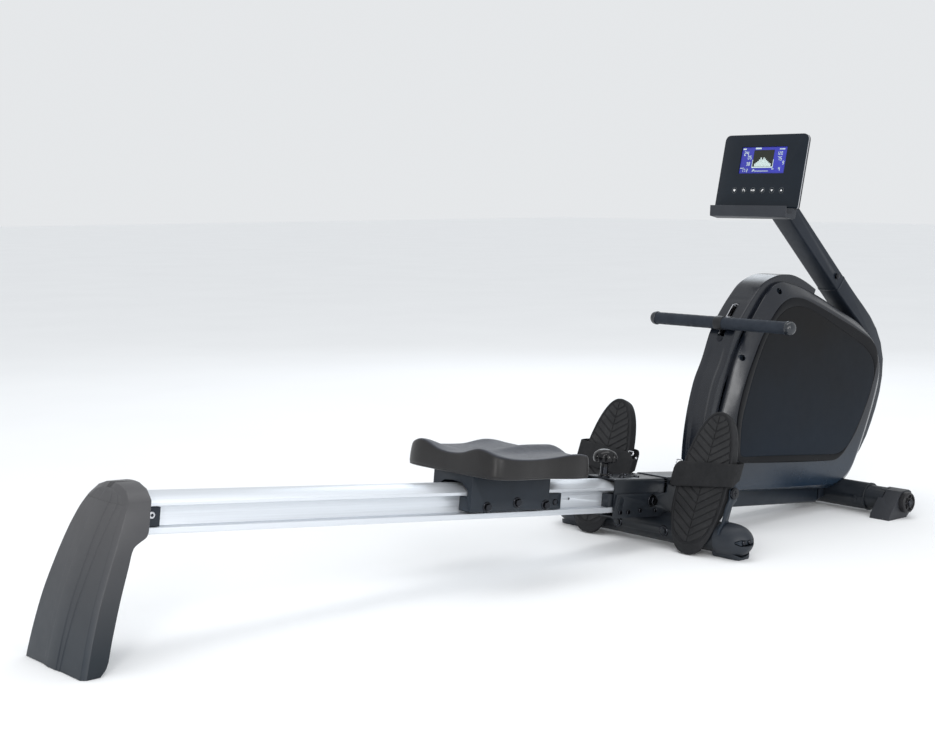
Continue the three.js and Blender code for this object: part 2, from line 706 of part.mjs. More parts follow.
// ---------- fixed bracket, pivot and rest ----------
{
  const outer = BRACKET_INNER + BRACKET_SHEET;
  // section: two sides under a hood with rounded shoulders
  function hoodArch(half, top, bottom, radius) {
    const points = [[-half, bottom], [half, bottom]];
    for (let i = 0; i <= 5; i += 1) {
      const angle = (i * 18) * DEG;
      points.push([half - radius + radius * Math.cos(angle), top - radius + radius * Math.sin(angle)]);
    }
    for (let i = 0; i <= 5; i += 1) {
      const angle = (90 + i * 18) * DEG;
      points.push([-half + radius + radius * Math.cos(angle), top - radius + radius * Math.sin(angle)]);
    }
    return points;
  }
  const rear = -127;
  let bracket = slabX(hoodArch(outer, HOOD_TOP, BRACKET_FLOOR, 10), rear, BRACKET_FRONT);
  bracket = bracket.subtract(slabX(
    hoodArch(BRACKET_INNER, HOOD_TOP - BRACKET_SHEET, BRACKET_FLOOR - 5, 6), rear - 5, BRACKET_FRONT + 5,
  ));
  // low sides behind the hood, with a leaning rear edge
  bracket = bracket.subtract(slabY([
    [rear - 9, BRACKET_LOW_EDGE], [HOOD_REAR - 4, BRACKET_LOW_EDGE], [HOOD_REAR, HOOD_TOP - 8],
    [HOOD_REAR, HOOD_TOP + 9], [rear - 9, HOOD_TOP + 9],
  ], -90, 90));
  bracket = bracket.subtract(slabY([
    [rear - 9, BRACKET_FLOOR - 3], [rear - 0.4, BRACKET_FLOOR - 3], [rear + 8, BRACKET_LOW_EDGE + 1],
    [rear - 9, BRACKET_LOW_EDGE + 1],
  ], -90, 90));
  // the floor is open where the rail's end swings down
  const floorHalf = BRACKET_INNER + BRACKET_SHEET / 2;
  for (const [x0, x1] of [[rear + 3, -66], [90, BRACKET_FRONT - 2]]) {
    bracket = bracket.add(box(x0, x1, -floorHalf, floorHalf, BRACKET_FLOOR + 0.5, BRACKET_FLOOR + BRACKET_SHEET));
  }
  // cross walls welded round the beam
  for (const x of [HOOD_REAR + 38, BRACKET_FRONT - 10]) {
    bracket = bracket.add(slabX(hoodArch(floorHalf, HOOD_TOP - 2, BRACKET_FLOOR + 2, 8), x, x + 5));
  }
  let world = outOfRail(bracket);
  const play = GAP;
  const beamSpace = box(0, 700, -BEAM_WIDTH / 2 - play, BEAM_WIDTH / 2 + play, -play, BEAM_HEIGHT + play);
  world = world.subtract(beamSpace.rotate([0, BEAM_INCLINE / DEG, 0]).translate([0, 0, BEAM_BASE_Z]));
  world = world.subtract(rodY(BAR_R + GAP, -80, 80, 0, BAR_Z, 32));
  world = world.subtract(rodY(AXLE_R + BORE_PLAY, -80, 80, AXLE[0], AXLE[1], 20));
  bracket = intoRail(world);
  bracket = bracket.subtract(rodY(PIVOT_BOLT_R + BORE_PLAY, -70, 70, 0, 0, 20));
  bracket = bracket.subtract(rodZ(LOCK_PIN_R + BORE_PLAY, BRACKET_FLOOR - 1, BRACKET_FLOOR + 5, KNOB_X, 0, 12));
  part('fold_bracket', bracket, DARK, 0.4, 0.5, railGroup);

  const boltOuter = outer + GAP;
  const bolt = joined(
    rodY(PIVOT_BOLT_R, -boltOuter - 1, boltOuter + 1, 0, 0, 20),
    rodY(13, -boltOuter - 2, -boltOuter, 0, 0, 20),
    rodY(13, boltOuter, boltOuter + 2, 0, 0, 20),
    rodY(10, -boltOuter - 8, -boltOuter - 1, 0, 0, 6),
    rodY(10, boltOuter + 1, boltOuter + 8, 0, 0, 6),
  );
  part('fold_pivot_bolt', bolt, STEEL, 0.9, 0.4, railGroup);

  const pad = box(KNOB_X + 14, KNOB_X + 34, -34, 34, BRACKET_FLOOR + BRACKET_SHEET + GAP, RAIL_BOTTOM - GAP);
  part('rail_rest_pad', pad, 0x111111, 0, 0.9, railGroup);
}

// ---------- main stabiliser ----------
{
  const barEnd = CAP_INNER + 20;
  let bar = rodY(BAR_R, -barEnd, barEnd, 0, BAR_Z, 32);
  bar = bar.subtract(rodY(BAR_R - BAR_WALL, -barEnd - 1, barEnd + 1, 0, BAR_Z, 32));
  for (const y of [-72, 72]) {
    const bolt = rodX(8, -BAR_R - 5, -BAR_R + 3, y, BAR_Z - 3, 6);
    bar = bar.add(bolt);
  }
  part('main_stabiliser', bar, BLACK, 0.4, 0.45, machine);

  for (const [name, side] of [['right', -1], ['left', 1]]) {
    const sleeve = BAR_R + GAP;
    const skin = 2.2;
    const profile = [
      [sleeve, CAP_INNER], [sleeve + skin, CAP_INNER], [sleeve + skin, CAP_INNER + 26],
      [sleeve + 0.5, CAP_INNER + 44], [sleeve - 8.5, CAP_INNER + 64], [sleeve - 20, CAP_INNER + 77],
      [0, CAP_OUTER], [0, CAP_OUTER - 4], [sleeve - 22, CAP_INNER + 73], [sleeve - 11.5, CAP_INNER + 61],
      [sleeve - 2.5, CAP_INNER + 42], [sleeve, CAP_INNER + 24], [sleeve, CAP_INNER],
    ];
    const turned = profile.map(([r, y]) => [r, y * side]);
    let cap = turnY(turned, 0, BAR_Z, 28);
    const footNear = side > 0 ? CAP_INNER - 12 : -CAP_OUTER + 23;
    const footFar = side > 0 ? CAP_OUTER - 23 : -CAP_INNER + 12;
    const footOutline = [[-19, 0], [23, 0], [27, 18], [-23, 18]];
    let foot = slabY(footOutline, footNear, footFar);
    foot = foot.subtract(rodY(sleeve, -CAP_OUTER, CAP_OUTER, 0, BAR_Z, 28));
    cap = cap.add(foot);
    part(`stabiliser_cap_${name}`, cap, PLASTIC, 0.1, 0.5, machine);
  }
}

// ---------- pedals ----------
const pedalDir = [Math.sin(PEDAL_LEAN), Math.cos(PEDAL_LEAN)];
const pedalBack = [Math.cos(PEDAL_LEAN), -Math.sin(PEDAL_LEAN)];

// point on the pedal: s up along the tread, depth behind it
function pedalPoint(s, y, depth) {
  return new THREE.Vector3(
    PEDAL_FOOT_X + s * pedalDir[0] + depth * pedalBack[0],
    y,
    s * pedalDir[1] + depth * pedalBack[1],
  );
}

for (const [name, side] of [['right', -1], ['left', 1]]) {
  const count = 30;
  function pedalRing(inset, depthAt, heelDrop = 0) {
    const ring = [];
    for (let i = 0; i < count; i += 1) {
      const angle = (2 * Math.PI * i) / count;
      const c = Math.cos(angle);
      const s = Math.sin(angle);
      const power = 2 / 2.27;
      const across = Math.sign(c) * Math.abs(c) ** power;
      const along = Math.sign(s) * Math.abs(s) ** power;
      const width = PEDAL_HALF_WIDTH - PEDAL_TAPER * along - inset;
      const dy = across * width;
      const heel = Math.max(-along, 0);
      const ds = along * (PEDAL_HALF_LENGTH - inset) - heelDrop * heel ** 3;
      ring.push(pedalPoint(PEDAL_CENTRE_S + ds, side * PEDAL_Y + dy, depthAt(PEDAL_CENTRE_S + ds)));
    }
    return ring;
  }
  // the back shell is shallow where it passes the stabiliser bar
  function shellDepth(s) {
    const low = 12 * Math.exp(-((Math.max(s - 14, 0) / 20) ** 2));
    const high = 20 * (1 - Math.exp(-((Math.max(s - 62, 0) / 40) ** 2)));
    return 7.5 + low + high;
  }
  const outer = loft([
    pedalRing(1.5, () => 0),
    pedalRing(0, () => 2),
    pedalRing(0, () => 5, 18.5),
    pedalRing(1, (s) => shellDepth(s) * 0.75, 18),
    pedalRing(9, (s) => shellDepth(s), 22),
    pedalRing(45, (s) => shellDepth(s), 20),
  ]);
  let pedal = outer;
  const tread = loft([pedalRing(5, () => -1), pedalRing(5, () => 1)]);
  pedal = pedal.subtract(tread);
  const boss = rodY(12, side * PEDAL_Y - 70, side * PEDAL_Y + 70, AXLE[0], AXLE[1], 20);
  pedal = pedal.add(boss);
  const hollow = loft([
    pedalRing(16, () => 6),
    pedalRing(22, (s) => Math.max(shellDepth(s) + 4, 8)),
    pedalRing(46, (s) => Math.max(shellDepth(s) + 4, 8)),
  ]);
  const bossKeep = rodY(12, side * PEDAL_Y - 90, side * PEDAL_Y + 90, AXLE[0], AXLE[1], 20);
  pedal = pedal.subtract(hollow.subtract(bossKeep));
  pedal = pedal.subtract(rodY(AXLE_R + BORE_PLAY, -260, 260, AXLE[0], AXLE[1], 20));
  pedal = pedal.subtract(rodY(BAR_R + 5, -260, 260, 0, BAR_Z, 32));
  part(`pedal_${name}`, pedal, BLACK, 0, 0.75, machine);

  // strap loop round the pedal over the instep: level behind, higher at the outer side
  const loopCount = 28;
  function strapRing(edge, grow) {
    const ring = [];
    for (let i = 0; i < loopCount; i += 1) {
      const angle = (2 * Math.PI * i) / loopCount;
      const c = Math.cos(angle);
      const q = Math.sin(angle);
      const reach = Math.abs(c) ** 0.55;
      const sideways = c > 0 ? STRAP_OUTER - PEDAL_Y - 2 + grow : STRAP_INNER - PEDAL_Y + 2 - grow;
      const out = PEDAL_Y + sideways * reach;
      const inward = Math.max((82 - out) / 18, 0) ** 2;
      const level = edge === 'low' ? 143 + (out - 83) * 0.11 : 200 + (out - 95) * 0.066 - 10 * inward;
      const front = PEDAL_FOOT_X + level * Math.tan(PEDAL_LEAN);
      const back = 30;
      const x = q > 0
        ? front + q ** 0.6 * (back - front + grow)
        : front - Math.abs(q) ** 0.8 * (6 + grow);
      ring.push(new THREE.Vector3(x, side * out, level));
    }
    return ring;
  }
  function extended(ring, rise) {
    return ring.map((point) => new THREE.Vector3(point.x, point.y, point.z + rise));
  }
  const band = loft([strapRing('low', 2), strapRing('high', 2)]);
  const bandHole = loft([extended(strapRing('low', 0), -1), extended(strapRing('high', 0), 1)]);
  let strap = band.subtract(bandHole);
  for (const shift of [[GAP, 0, 0], [-GAP, 0, 0], [0, GAP, 0], [0, -GAP, 0]]) {
    strap = strap.subtract(pedal.translate(shift));
  }
  strap = strap.subtract(rodY(AXLE_R + 2.5, -260, 260, AXLE[0], AXLE[1], 20));
  part(`pedal_strap_${name}`, strap, BLACK, 0, 0.9, machine);

  // slanting plate from the cap's collar to the outer end of the axle
  const [ax, az] = AXLE;
  const plateOutline = [
    [-25, BAR_Z + 28], [-7, BAR_Z + 36], [-5, BAR_Z + 42], [ax - 4, az - 30], [ax + 12, az - 18],
    [ax + 13, az - 4], [ax + 12, az + 7], [ax + 5, az + 12], [ax - 5, az + 12], [ax - 12, az + 7],
    [ax - 13, az - 12], [-13, az - 32], [-24, BAR_Z + 42],
  ];
  const plateY = side > 0 ? [233, 237] : [-237, -233];
  let support = slabY(plateOutline, ...plateY);
  const saddleY = side > 0 ? [230, 237] : [-237, -230];
  const saddleOutline = [
    [-36, BAR_Z + 14], [-34, BAR_Z + 24], [-22, BAR_Z + 38], [-4, BAR_Z + 43], [0, BAR_Z + 36],
  ];
  support = support.add(slabY(saddleOutline, ...saddleY));
  support = support.subtract(rodY(AXLE_R + BORE_PLAY, -260, 260, ax, az, 20));
  support = support.subtract(rodY(BAR_R + GAP + 3 + GAP, -260, 260, 0, BAR_Z, 28));
  part(`pedal_support_${name}`, support, STEEL, 0.7, 0.45, machine);
}

// one axle through both pedals and the bracket, with a flanged screw at each end
{
  const end = 237 + GAP;
  let axle = rodY(AXLE_R, -end - 1, end + 1, AXLE[0], AXLE[1], 20);
  axle = axle.add(rodY(13.5, end, end + 4, AXLE[0], AXLE[1], 24));
  axle = axle.add(rodY(13.5, -end - 4, -end, AXLE[0], AXLE[1], 24));
  part('pedal_axle', axle, STEEL, 0.8, 0.4, machine);
}

// ---------- beam ----------
{
  const section = roundRect(BEAM_WIDTH, BEAM_HEIGHT, 6).map(([y, z]) => [y, z + BEAM_HEIGHT / 2]);
  const bore = roundRect(BEAM_WIDTH - 5, BEAM_HEIGHT - 5, 3.5).map(([y, z]) => [y, z + BEAM_HEIGHT / 2]);
  let beam = slabX(section, BEAM_REAR, BEAM_FRONT, [bore]);
  beam = beam.rotate([0, BEAM_INCLINE / DEG, 0]).translate([0, 0, BEAM_BASE_Z]);
  beam = beam.subtract(rodY(BAR_R + GAP, -BEAM_WIDTH, BEAM_WIDTH, 0, BAR_Z, 32));
  part('main_beam', beam, DARK, 0.4, 0.5, machine);
}

// ---------- mast ----------
const mastDir = [-Math.cos(MAST_ANGLE), Math.sin(MAST_ANGLE)];
function mastPoint(along, x = 0) {
  // x is measured across the mast, towards its front face
  return [
    MAST_JOINT[0] + along * mastDir[0] + x * mastDir[1],
    MAST_JOINT[1] + along * mastDir[1] - x * mastDir[0],
  ];
}
{
  const centreLine = offsetPath(MAST_FRONT_FACE, -MAST_DEPTH / 2);
  centreLine.push(mastPoint(-60));
  centreLine.push(mastPoint(-20));
  centreLine.push(mastPoint(0));
  const curve = new THREE.CatmullRomCurve3(
    centreLine.map(([x, z]) => new THREE.Vector3(x, 0, z)), false, 'centripetal',
  );
  const section = shapeOf(roundRect(MAST_WIDTH, MAST_DEPTH, MAST_ROUND));
  const boreRound = MAST_ROUND - TUBE_WALL;
  section.holes.push(shapeOf(
    roundRect(MAST_WIDTH - 2 * TUBE_WALL, MAST_DEPTH - 2 * TUBE_WALL, boreRound, 2),
  ));
  let mast = solid(new THREE.ExtrudeGeometry(section, { steps: 18, bevelEnabled: false, extrudePath: curve }));
  mast = mast.subtract(rodY(FRONT_SLEEVE_R + GAP, -60, 60, FRONT_BAR[0], FRONT_BAR[1], 32));
  part('lower_mast', mast, DARK, 0.4, 0.45, machine);

  // upper mast lies on a straight axis: build it upright and lean it
  const upperLength = 420;
  const tube = slabZ(roundRect(UPPER_MAST_DEPTH, MAST_WIDTH, MAST_ROUND), 0.4, upperLength,
    [roundRect(UPPER_MAST_DEPTH - 2 * TUBE_WALL, MAST_WIDTH - 2 * TUBE_WALL, boreRound)]);
  const ring = slabZ(roundRect(UPPER_MAST_DEPTH + 3, MAST_WIDTH + 3, MAST_ROUND + 1.5), 0.4, 5,
    [roundRect(UPPER_MAST_DEPTH - 2, MAST_WIDTH - 2, MAST_ROUND - 1)]);
  const lean = (Math.atan2(mastDir[0], mastDir[1])) / DEG;
  const boltAlong = 32;
  function leaned(body) {
    return body.rotate([0, lean, 0]).translate([MAST_JOINT[0], 0, MAST_JOINT[1]]);
  }
  let upper = tube.add(ring).subtract(rodY(4 + BORE_PLAY, -50, 50, 0, boltAlong, 16));
  upper = leaned(upper);
  // cut square to the console's back
  const keep = box(CONSOLE_DEPTH + GAP, 600, -200, 200, -600, 600);
  upper = upper.intersect(keep.rotate([0, CONSOLE_LEAN / DEG, 0]).translate([CONSOLE_FOOT[0], 0, CONSOLE_FOOT[1]]));
  part('upper_mast', upper, DARK, 0.4, 0.45, machine);

  let spigot = slabZ(
    roundRect(UPPER_MAST_DEPTH - 2 * TUBE_WALL - 4, MAST_WIDTH - 2 * TUBE_WALL - 2, 9, 2),
    -12, 70,
    [roundRect(UPPER_MAST_DEPTH - 2 * TUBE_WALL - 8, MAST_WIDTH - 2 * TUBE_WALL - 8, 3, 2)],
  );
  spigot = leaned(spigot.subtract(rodY(4 + BORE_PLAY, -50, 50, 0, boltAlong, 16)));
  part('mast_spigot', spigot, STEEL, 0.8, 0.5, machine);

  const boltHalf = MAST_WIDTH / 2 + GAP;
  part('mast_bolt', leaned(hexBoltY(4, 8, -boltHalf, boltHalf, 0, boltAlong)), STEEL, 0.9, 0.35, machine);
}

// ---------- front stabiliser ----------
{
  const [x, z] = FRONT_BAR;
  const tubeEnd = 205;
  let bar = rodY(FRONT_SLEEVE_R, -153, 153, x, z, 32).add(rodY(FRONT_TUBE_R, -tubeEnd, tubeEnd, x, z, 32));
  bar = bar.subtract(rodY(FRONT_TUBE_R - 2.5, -tubeEnd - 1, tubeEnd + 1, x, z, 32));
  for (const y of [-127, 127]) {
    bar = bar.add(rodX(7, x - FRONT_SLEEVE_R - 4, x - FRONT_SLEEVE_R + 3, y, z - 2, 6));
  }
  part('front_stabiliser', bar, BLACK, 0.4, 0.45, machine);

  for (const [name, side] of [['right', -1], ['left', 1]]) {
    const near = side > 0 ? 193 : -250;
    const far = side > 0 ? 250 : -193;
    const outline = [
      [605, 0], [682, 0], [704, 18], [708, 45], [700, 64], [690, 69], [655, 68], [651, 60], [609, 12],
    ];
    let foot = slabY(outline, near, far);
    const tubeSocket = side > 0 ? [192, tubeEnd + 1] : [-tubeEnd - 1, -192];
    foot = foot.subtract(rodY(FRONT_TUBE_R + GAP, tubeSocket[0], tubeSocket[1], x, z, 32));
    const axle = side > 0 ? [249, 267] : [-267, -249];
    foot = foot.add(rodY(5, axle[0], axle[1], x, z, 20));
    const stub = side > 0 ? [267, 270] : [-270, -267];
    foot = foot.add(rodY(9, stub[0], stub[1], x, z, 20));
    part(`front_foot_${name}`, foot, PLASTIC, 0.1, 0.6, machine);

    const y0 = side > 0 ? 250.5 : -266.5;
    const y1 = side > 0 ? 266.5 : -250.5;
    const bore = 5 + BORE_PLAY;
    const mid = (y0 + y1) / 2;
    const profile = [
      [bore, y0], [12, y0], [12, mid - 3], [20, mid - 3], [20, y0], [23.5, y0], [26, y0 + 2.5],
      [26, y1 - 2.5], [23.5, y1], [20, y1], [20, mid + 3], [12, mid + 3], [12, y1], [bore, y1], [bore, y0],
    ];
    part(`transport_wheel_${name}`, turnY(profile, x, z, 24), 0x1b1c1e, 0, 0.7, machine);
  }
}

// ---------- housing ----------
const RIM_OUTLINE = [
  [176, 108], [178, 172], [181, 250], [221, 355], [244, 414], [281, 472], [308, 511], [354, 563],
  [386, 588], [419, 597], [500, 580], [590, 545], [656, 514], [736, 482], [800, 440], [842, 372],
  [846, 318], [822, 255], [770, 150], [715, 72], [655, 50], [426, 74], [182, 98],
];
const FACE_OUTLINE = [
  [228, 108], [224, 172], [226, 249], [250, 342], [267, 374], [291, 422], [322, 471], [359, 515],
  [388, 542], [427, 560], [493, 555], [568, 528], [646, 497], [725, 460], [786, 430], [811, 379],
  [815, 343], [790, 270], [746, 177], [700, 95], [640, 66], [426, 82], [236, 100],
];
const BAND_OUTLINE = [
  [149, 120], [149, 176], [154, 226], [167, 290], [190.5, 361], [218, 410], [249.5, 478], [279.5, 518.5],
  [321, 562], [359, 592.5], [412, 609.5], [455, 611.5], [484, 607.5], [530, 591], [571, 570.5],
];
const PANEL_OUTLINE = [
  [228, 166], [226, 215], [229, 271], [239, 308], [253, 346], [270, 382], [294, 424], [316, 461],
  [339, 491], [361, 515], [384, 536], [411, 551], [439, 557], [479, 553], [536, 533], [621, 499],
  [708, 463], [778, 430], [802, 404], [806, 373], [794, 332], [770, 282], [737, 227], [700, 179],
  [662, 141], [629, 128], [553, 134], [390, 149],
];
{
  const centre = [520, 320];
  const count = 44;
  const rim = radialRing(RIM_OUTLINE, centre, count);
  const face = radialRing(FACE_OUTLINE, centre, count);
  function shellRing(blend, y, shrink) {
    return rim.map(([x, z], i) => {
      let px = x + (face[i][0] - x) * blend;
      let pz = z + (face[i][1] - z) * blend;
      const dx = centre[0] - px;
      const dz = centre[1] - pz;
      const reach = Math.hypot(dx, dz);
      px += (dx / reach) * shrink;
      pz += (dz / reach) * shrink;
      return new THREE.Vector3(px, y, pz);
    });
  }
  const stations = [[0, 0], [0, 0.3], [0.1, 0.62], [0.35, 0.85], [0.7, 0.96], [1, 1]];
  const wall = 3;
  for (const [name, side] of [['right', -1], ['left', 1]]) {
    function cup(depth, shrink, start) {
      return loft(stations.map(([blend, t]) => {
        const y = SHELL_INNER + (depth - SHELL_INNER) * t;
        return shellRing(blend, side * (t === 0 ? start : y), shrink);
      }));
    }
    let shell = cup(SHELL_FACE, 0, SHELL_INNER).subtract(cup(SHELL_FACE - wall, wall, SHELL_INNER - 1));
    for (const [x, z] of [[388, 574], [252, 419]]) {
      const y0 = side > 0 ? 50 : -75;
      shell = shell.subtract(rodY(7, y0, y0 + 25, x, z, 16));
    }
    // the beam and the front bar leave through the rear and bottom edges
    shell = shell.subtract(outOfRail(box(0, BRACKET_FRONT + 1, -60, 60, BRACKET_FLOOR - 1, HOOD_TOP + GAP)));
    shell = shell.subtract(rodY(FRONT_SLEEVE_R + 2, -100, 100, FRONT_BAR[0], FRONT_BAR[1], 32));
    part(`housing_shell_${name}`, shell, 0x2a2d33, 0.3, 0.4, machine);

    const y0 = side > 0 ? SHELL_FACE + GAP : -PANEL_OUTER;
    const y1 = side > 0 ? PANEL_OUTER : -SHELL_FACE - GAP;
    part(`side_panel_${name}`, slabY(PANEL_OUTLINE, y0, y1), 0x202329, 0.1, 0.6, machine);
  }

  // channel-section band over the seam between the shells
  const flangeDepth = 26;
  const innerEdge = offsetPath(BAND_OUTLINE, flangeDepth);
  const region = [...BAND_OUTLINE, ...innerEdge.slice().reverse()];
  const bandOuter = slabY(region, -BAND_HALF, BAND_HALF);
  const voidTop = offsetPath(BAND_OUTLINE, COVER_WALL);
  const voidBottom = offsetPath(BAND_OUTLINE, flangeDepth + 6);
  const voidRegion = [...voidTop, ...voidBottom.slice().reverse()];
  const bandVoid = slabY(voidRegion, -BAND_HALF + COVER_WALL, BAND_HALF - COVER_WALL);
  let cover = bandOuter.subtract(bandVoid);
  cover = cover.subtract(box(200, 330, -9, 9, 470, 545));
  part('centre_cover', cover, 0x24272d, 0.2, 0.4, machine);

  // bright liner of the strap slot
  const guideOuter = box(262, 300, -9 + GAP, 9 - GAP, 486, 514);
  const guideInner = box(200, 330, -8 + GAP, 8 - GAP, 490, 510);
  part('strap_guide', guideOuter.subtract(guideInner), STEEL, 0.9, 0.3, machine);
}

// ---------- drive inside the housing ----------
{
  const [fx, fz] = FLYWHEEL;
  const [dx, dz] = DRUM;
  const bore = 8 + BORE_PLAY;
  // flywheel: heavy rim, thin web with lightening holes, hub and small pulley
  const half = 11;
  const profile = [
    [bore, -18], [18, -18], [18, -5], [FLYWHEEL_R - 28, -5], [FLYWHEEL_R - 25, -half], [FLYWHEEL_R, -half],
    [FLYWHEEL_R, half], [FLYWHEEL_R - 25, half], [FLYWHEEL_R - 28, 5], [16, 5], [16, 26], [bore, 26],
    [bore, -18],
  ];
  let wheel = turnY(profile, fx, fz, 32);
  const holes = 6;
  for (let i = 0; i < holes; i += 1) {
    const angle = (2 * Math.PI * i) / holes;
    wheel = wheel.subtract(rodY(22, -20, 10, fx + 70 * Math.cos(angle), fz + 70 * Math.sin(angle), 10));
  }
  part('flywheel', wheel, STEEL, 0.9, 0.35, machine);

  const drumProfile = [
    [bore, -12], [DRUM_R + 8, -12], [DRUM_R + 8, -10], [DRUM_R, -10], [DRUM_R, 10], [DRUM_R + 8, 10],
    [DRUM_R + 8, 16], [60, 16], [60, 19], [56, 19], [56, 24], [60, 24], [60, 27], [bore, 27], [bore, -12],
  ];
  part('strap_drum', turnY(drumProfile, dx, dz, 24), 0x3c3f44, 0.2, 0.5, machine);

  // two side plates with the fixed axles, standing on the beam
  const beamTop = (x) => BEAM_BASE_Z - x * Math.tan(BEAM_INCLINE) + BEAM_HEIGHT / Math.cos(BEAM_INCLINE);
  const plateOutline = [
    [fx - 90, beamTop(fx - 90) + GAP], [fx + 62, beamTop(fx + 62) + GAP], [fx + 30, fz], [fx, fz + 30],
    [dx + 30, dz + 20], [dx, dz + 30], [dx - 28, dz + 10], [dx - 28, dz - 20], [fx - 60, fz - 10],
  ];
  let frame = slabY(plateOutline, -33, -30).add(slabY(plateOutline, 30, 33));
  for (const x of [fx - 90, fx + 40]) {
    frame = frame.add(box(x, x + 6, -33, 33, beamTop(x) + GAP, beamTop(x) + 12 + GAP));
  }
  frame = frame.subtract(
    box(0, 700, -BEAM_WIDTH / 2 - GAP, BEAM_WIDTH / 2 + GAP, -1, BEAM_HEIGHT + GAP)
      .rotate([0, BEAM_INCLINE / DEG, 0]).translate([0, 0, BEAM_BASE_Z]),
  );
  frame = frame.add(rodY(8, -34, 34, fx, fz, 20)).add(rodY(8, -34, 34, dx, dz, 20));

  // flat belt from the drum's big pulley to the flywheel's small one
  const length = Math.hypot(fx - dx, fz - dz);
  const bigR = 56 + GAP;
  const smallR = 16 + GAP;
  const lean = Math.acos((bigR - smallR) / length);
  const heading = Math.atan2(fz - dz, fx - dx);
  function beltOutline(grow) {
    const points = [];
    for (let i = 0; i <= 20; i += 1) {
      const angle = heading + lean + ((2 * Math.PI - 2 * lean) * i) / 20;
      points.push([dx + (bigR + grow) * Math.cos(angle), dz + (bigR + grow) * Math.sin(angle)]);
    }
    for (let i = 0; i <= 10; i += 1) {
      const angle = heading - lean + (2 * lean * i) / 10;
      points.push([fx + (smallR + grow) * Math.cos(angle), fz + (smallR + grow) * Math.sin(angle)]);
    }
    return points;
  }
  part('drive_belt', slabY(beltOutline(1.6), 19.4, 23.6, [beltOutline(0)]), 0x111111, 0, 0.9, machine);

  // brake magnets on an arc that hangs from the side plates over the wheel's rim
  function arcPoints(radius, from, to, steps) {
    const points = [];
    for (let i = 0; i <= steps; i += 1) {
      const angle = (from + ((to - from) * i) / steps) * DEG;
      points.push([fx + radius * Math.cos(angle), fz + radius * Math.sin(angle)]);
    }
    return points;
  }
  const arm = [...arcPoints(FLYWHEEL_R + 14, -38, 22, 8), ...arcPoints(FLYWHEEL_R + 3, 22, -38, 8)];
  frame = frame.add(slabY(arm, -33, 33));
  const tip = fx + FLYWHEEL_R;
  const link = [[fx + 15, fz + 22], [fx + 15, fz - 22], [tip - 5, fz - 38], [tip + 5, fz], [tip - 5, fz + 38]];
  frame = frame.add(slabY(link, -33, -30)).add(slabY(link, 30, 33));
  part('drive_frame', frame, STEEL, 0.6, 0.5, machine);
}

// ---------- handle and its strap ----------
{
  const end = HANDLE_HALF;
  const profile = [
    [0, -end], [8, -end + 0.8], [14, -end + 4], [16.5, -end + 9], [16.5, -end + 14], [GRIP_R, -end + 16],
    [GRIP_R, end - 16], [16.5, end - 14], [16.5, end - 9], [14, end - 4], [8, end - 0.8], [0, end],
  ];
  let handle = turnY(profile, HANDLE_X, STRAP_Z, 22);
  handle = handle.add(box(HANDLE_X, HANDLE_X + 17, -8.5, 8.5, STRAP_Z - 5, STRAP_Z + 5));
  part('handle', handle, BLACK, 0, 0.85, machine);

  const strapStart = HANDLE_X + 17 + GAP;
  const strap = box(strapStart, DRUM[0], -STRAP_WIDTH / 2 + 0.5, STRAP_WIDTH / 2 - 0.5,
    STRAP_Z + GAP, STRAP_Z + GAP + STRAP_THICK);
  part('pull_strap', strap, 0x1a1a1c, 0, 0.9, machine);
}

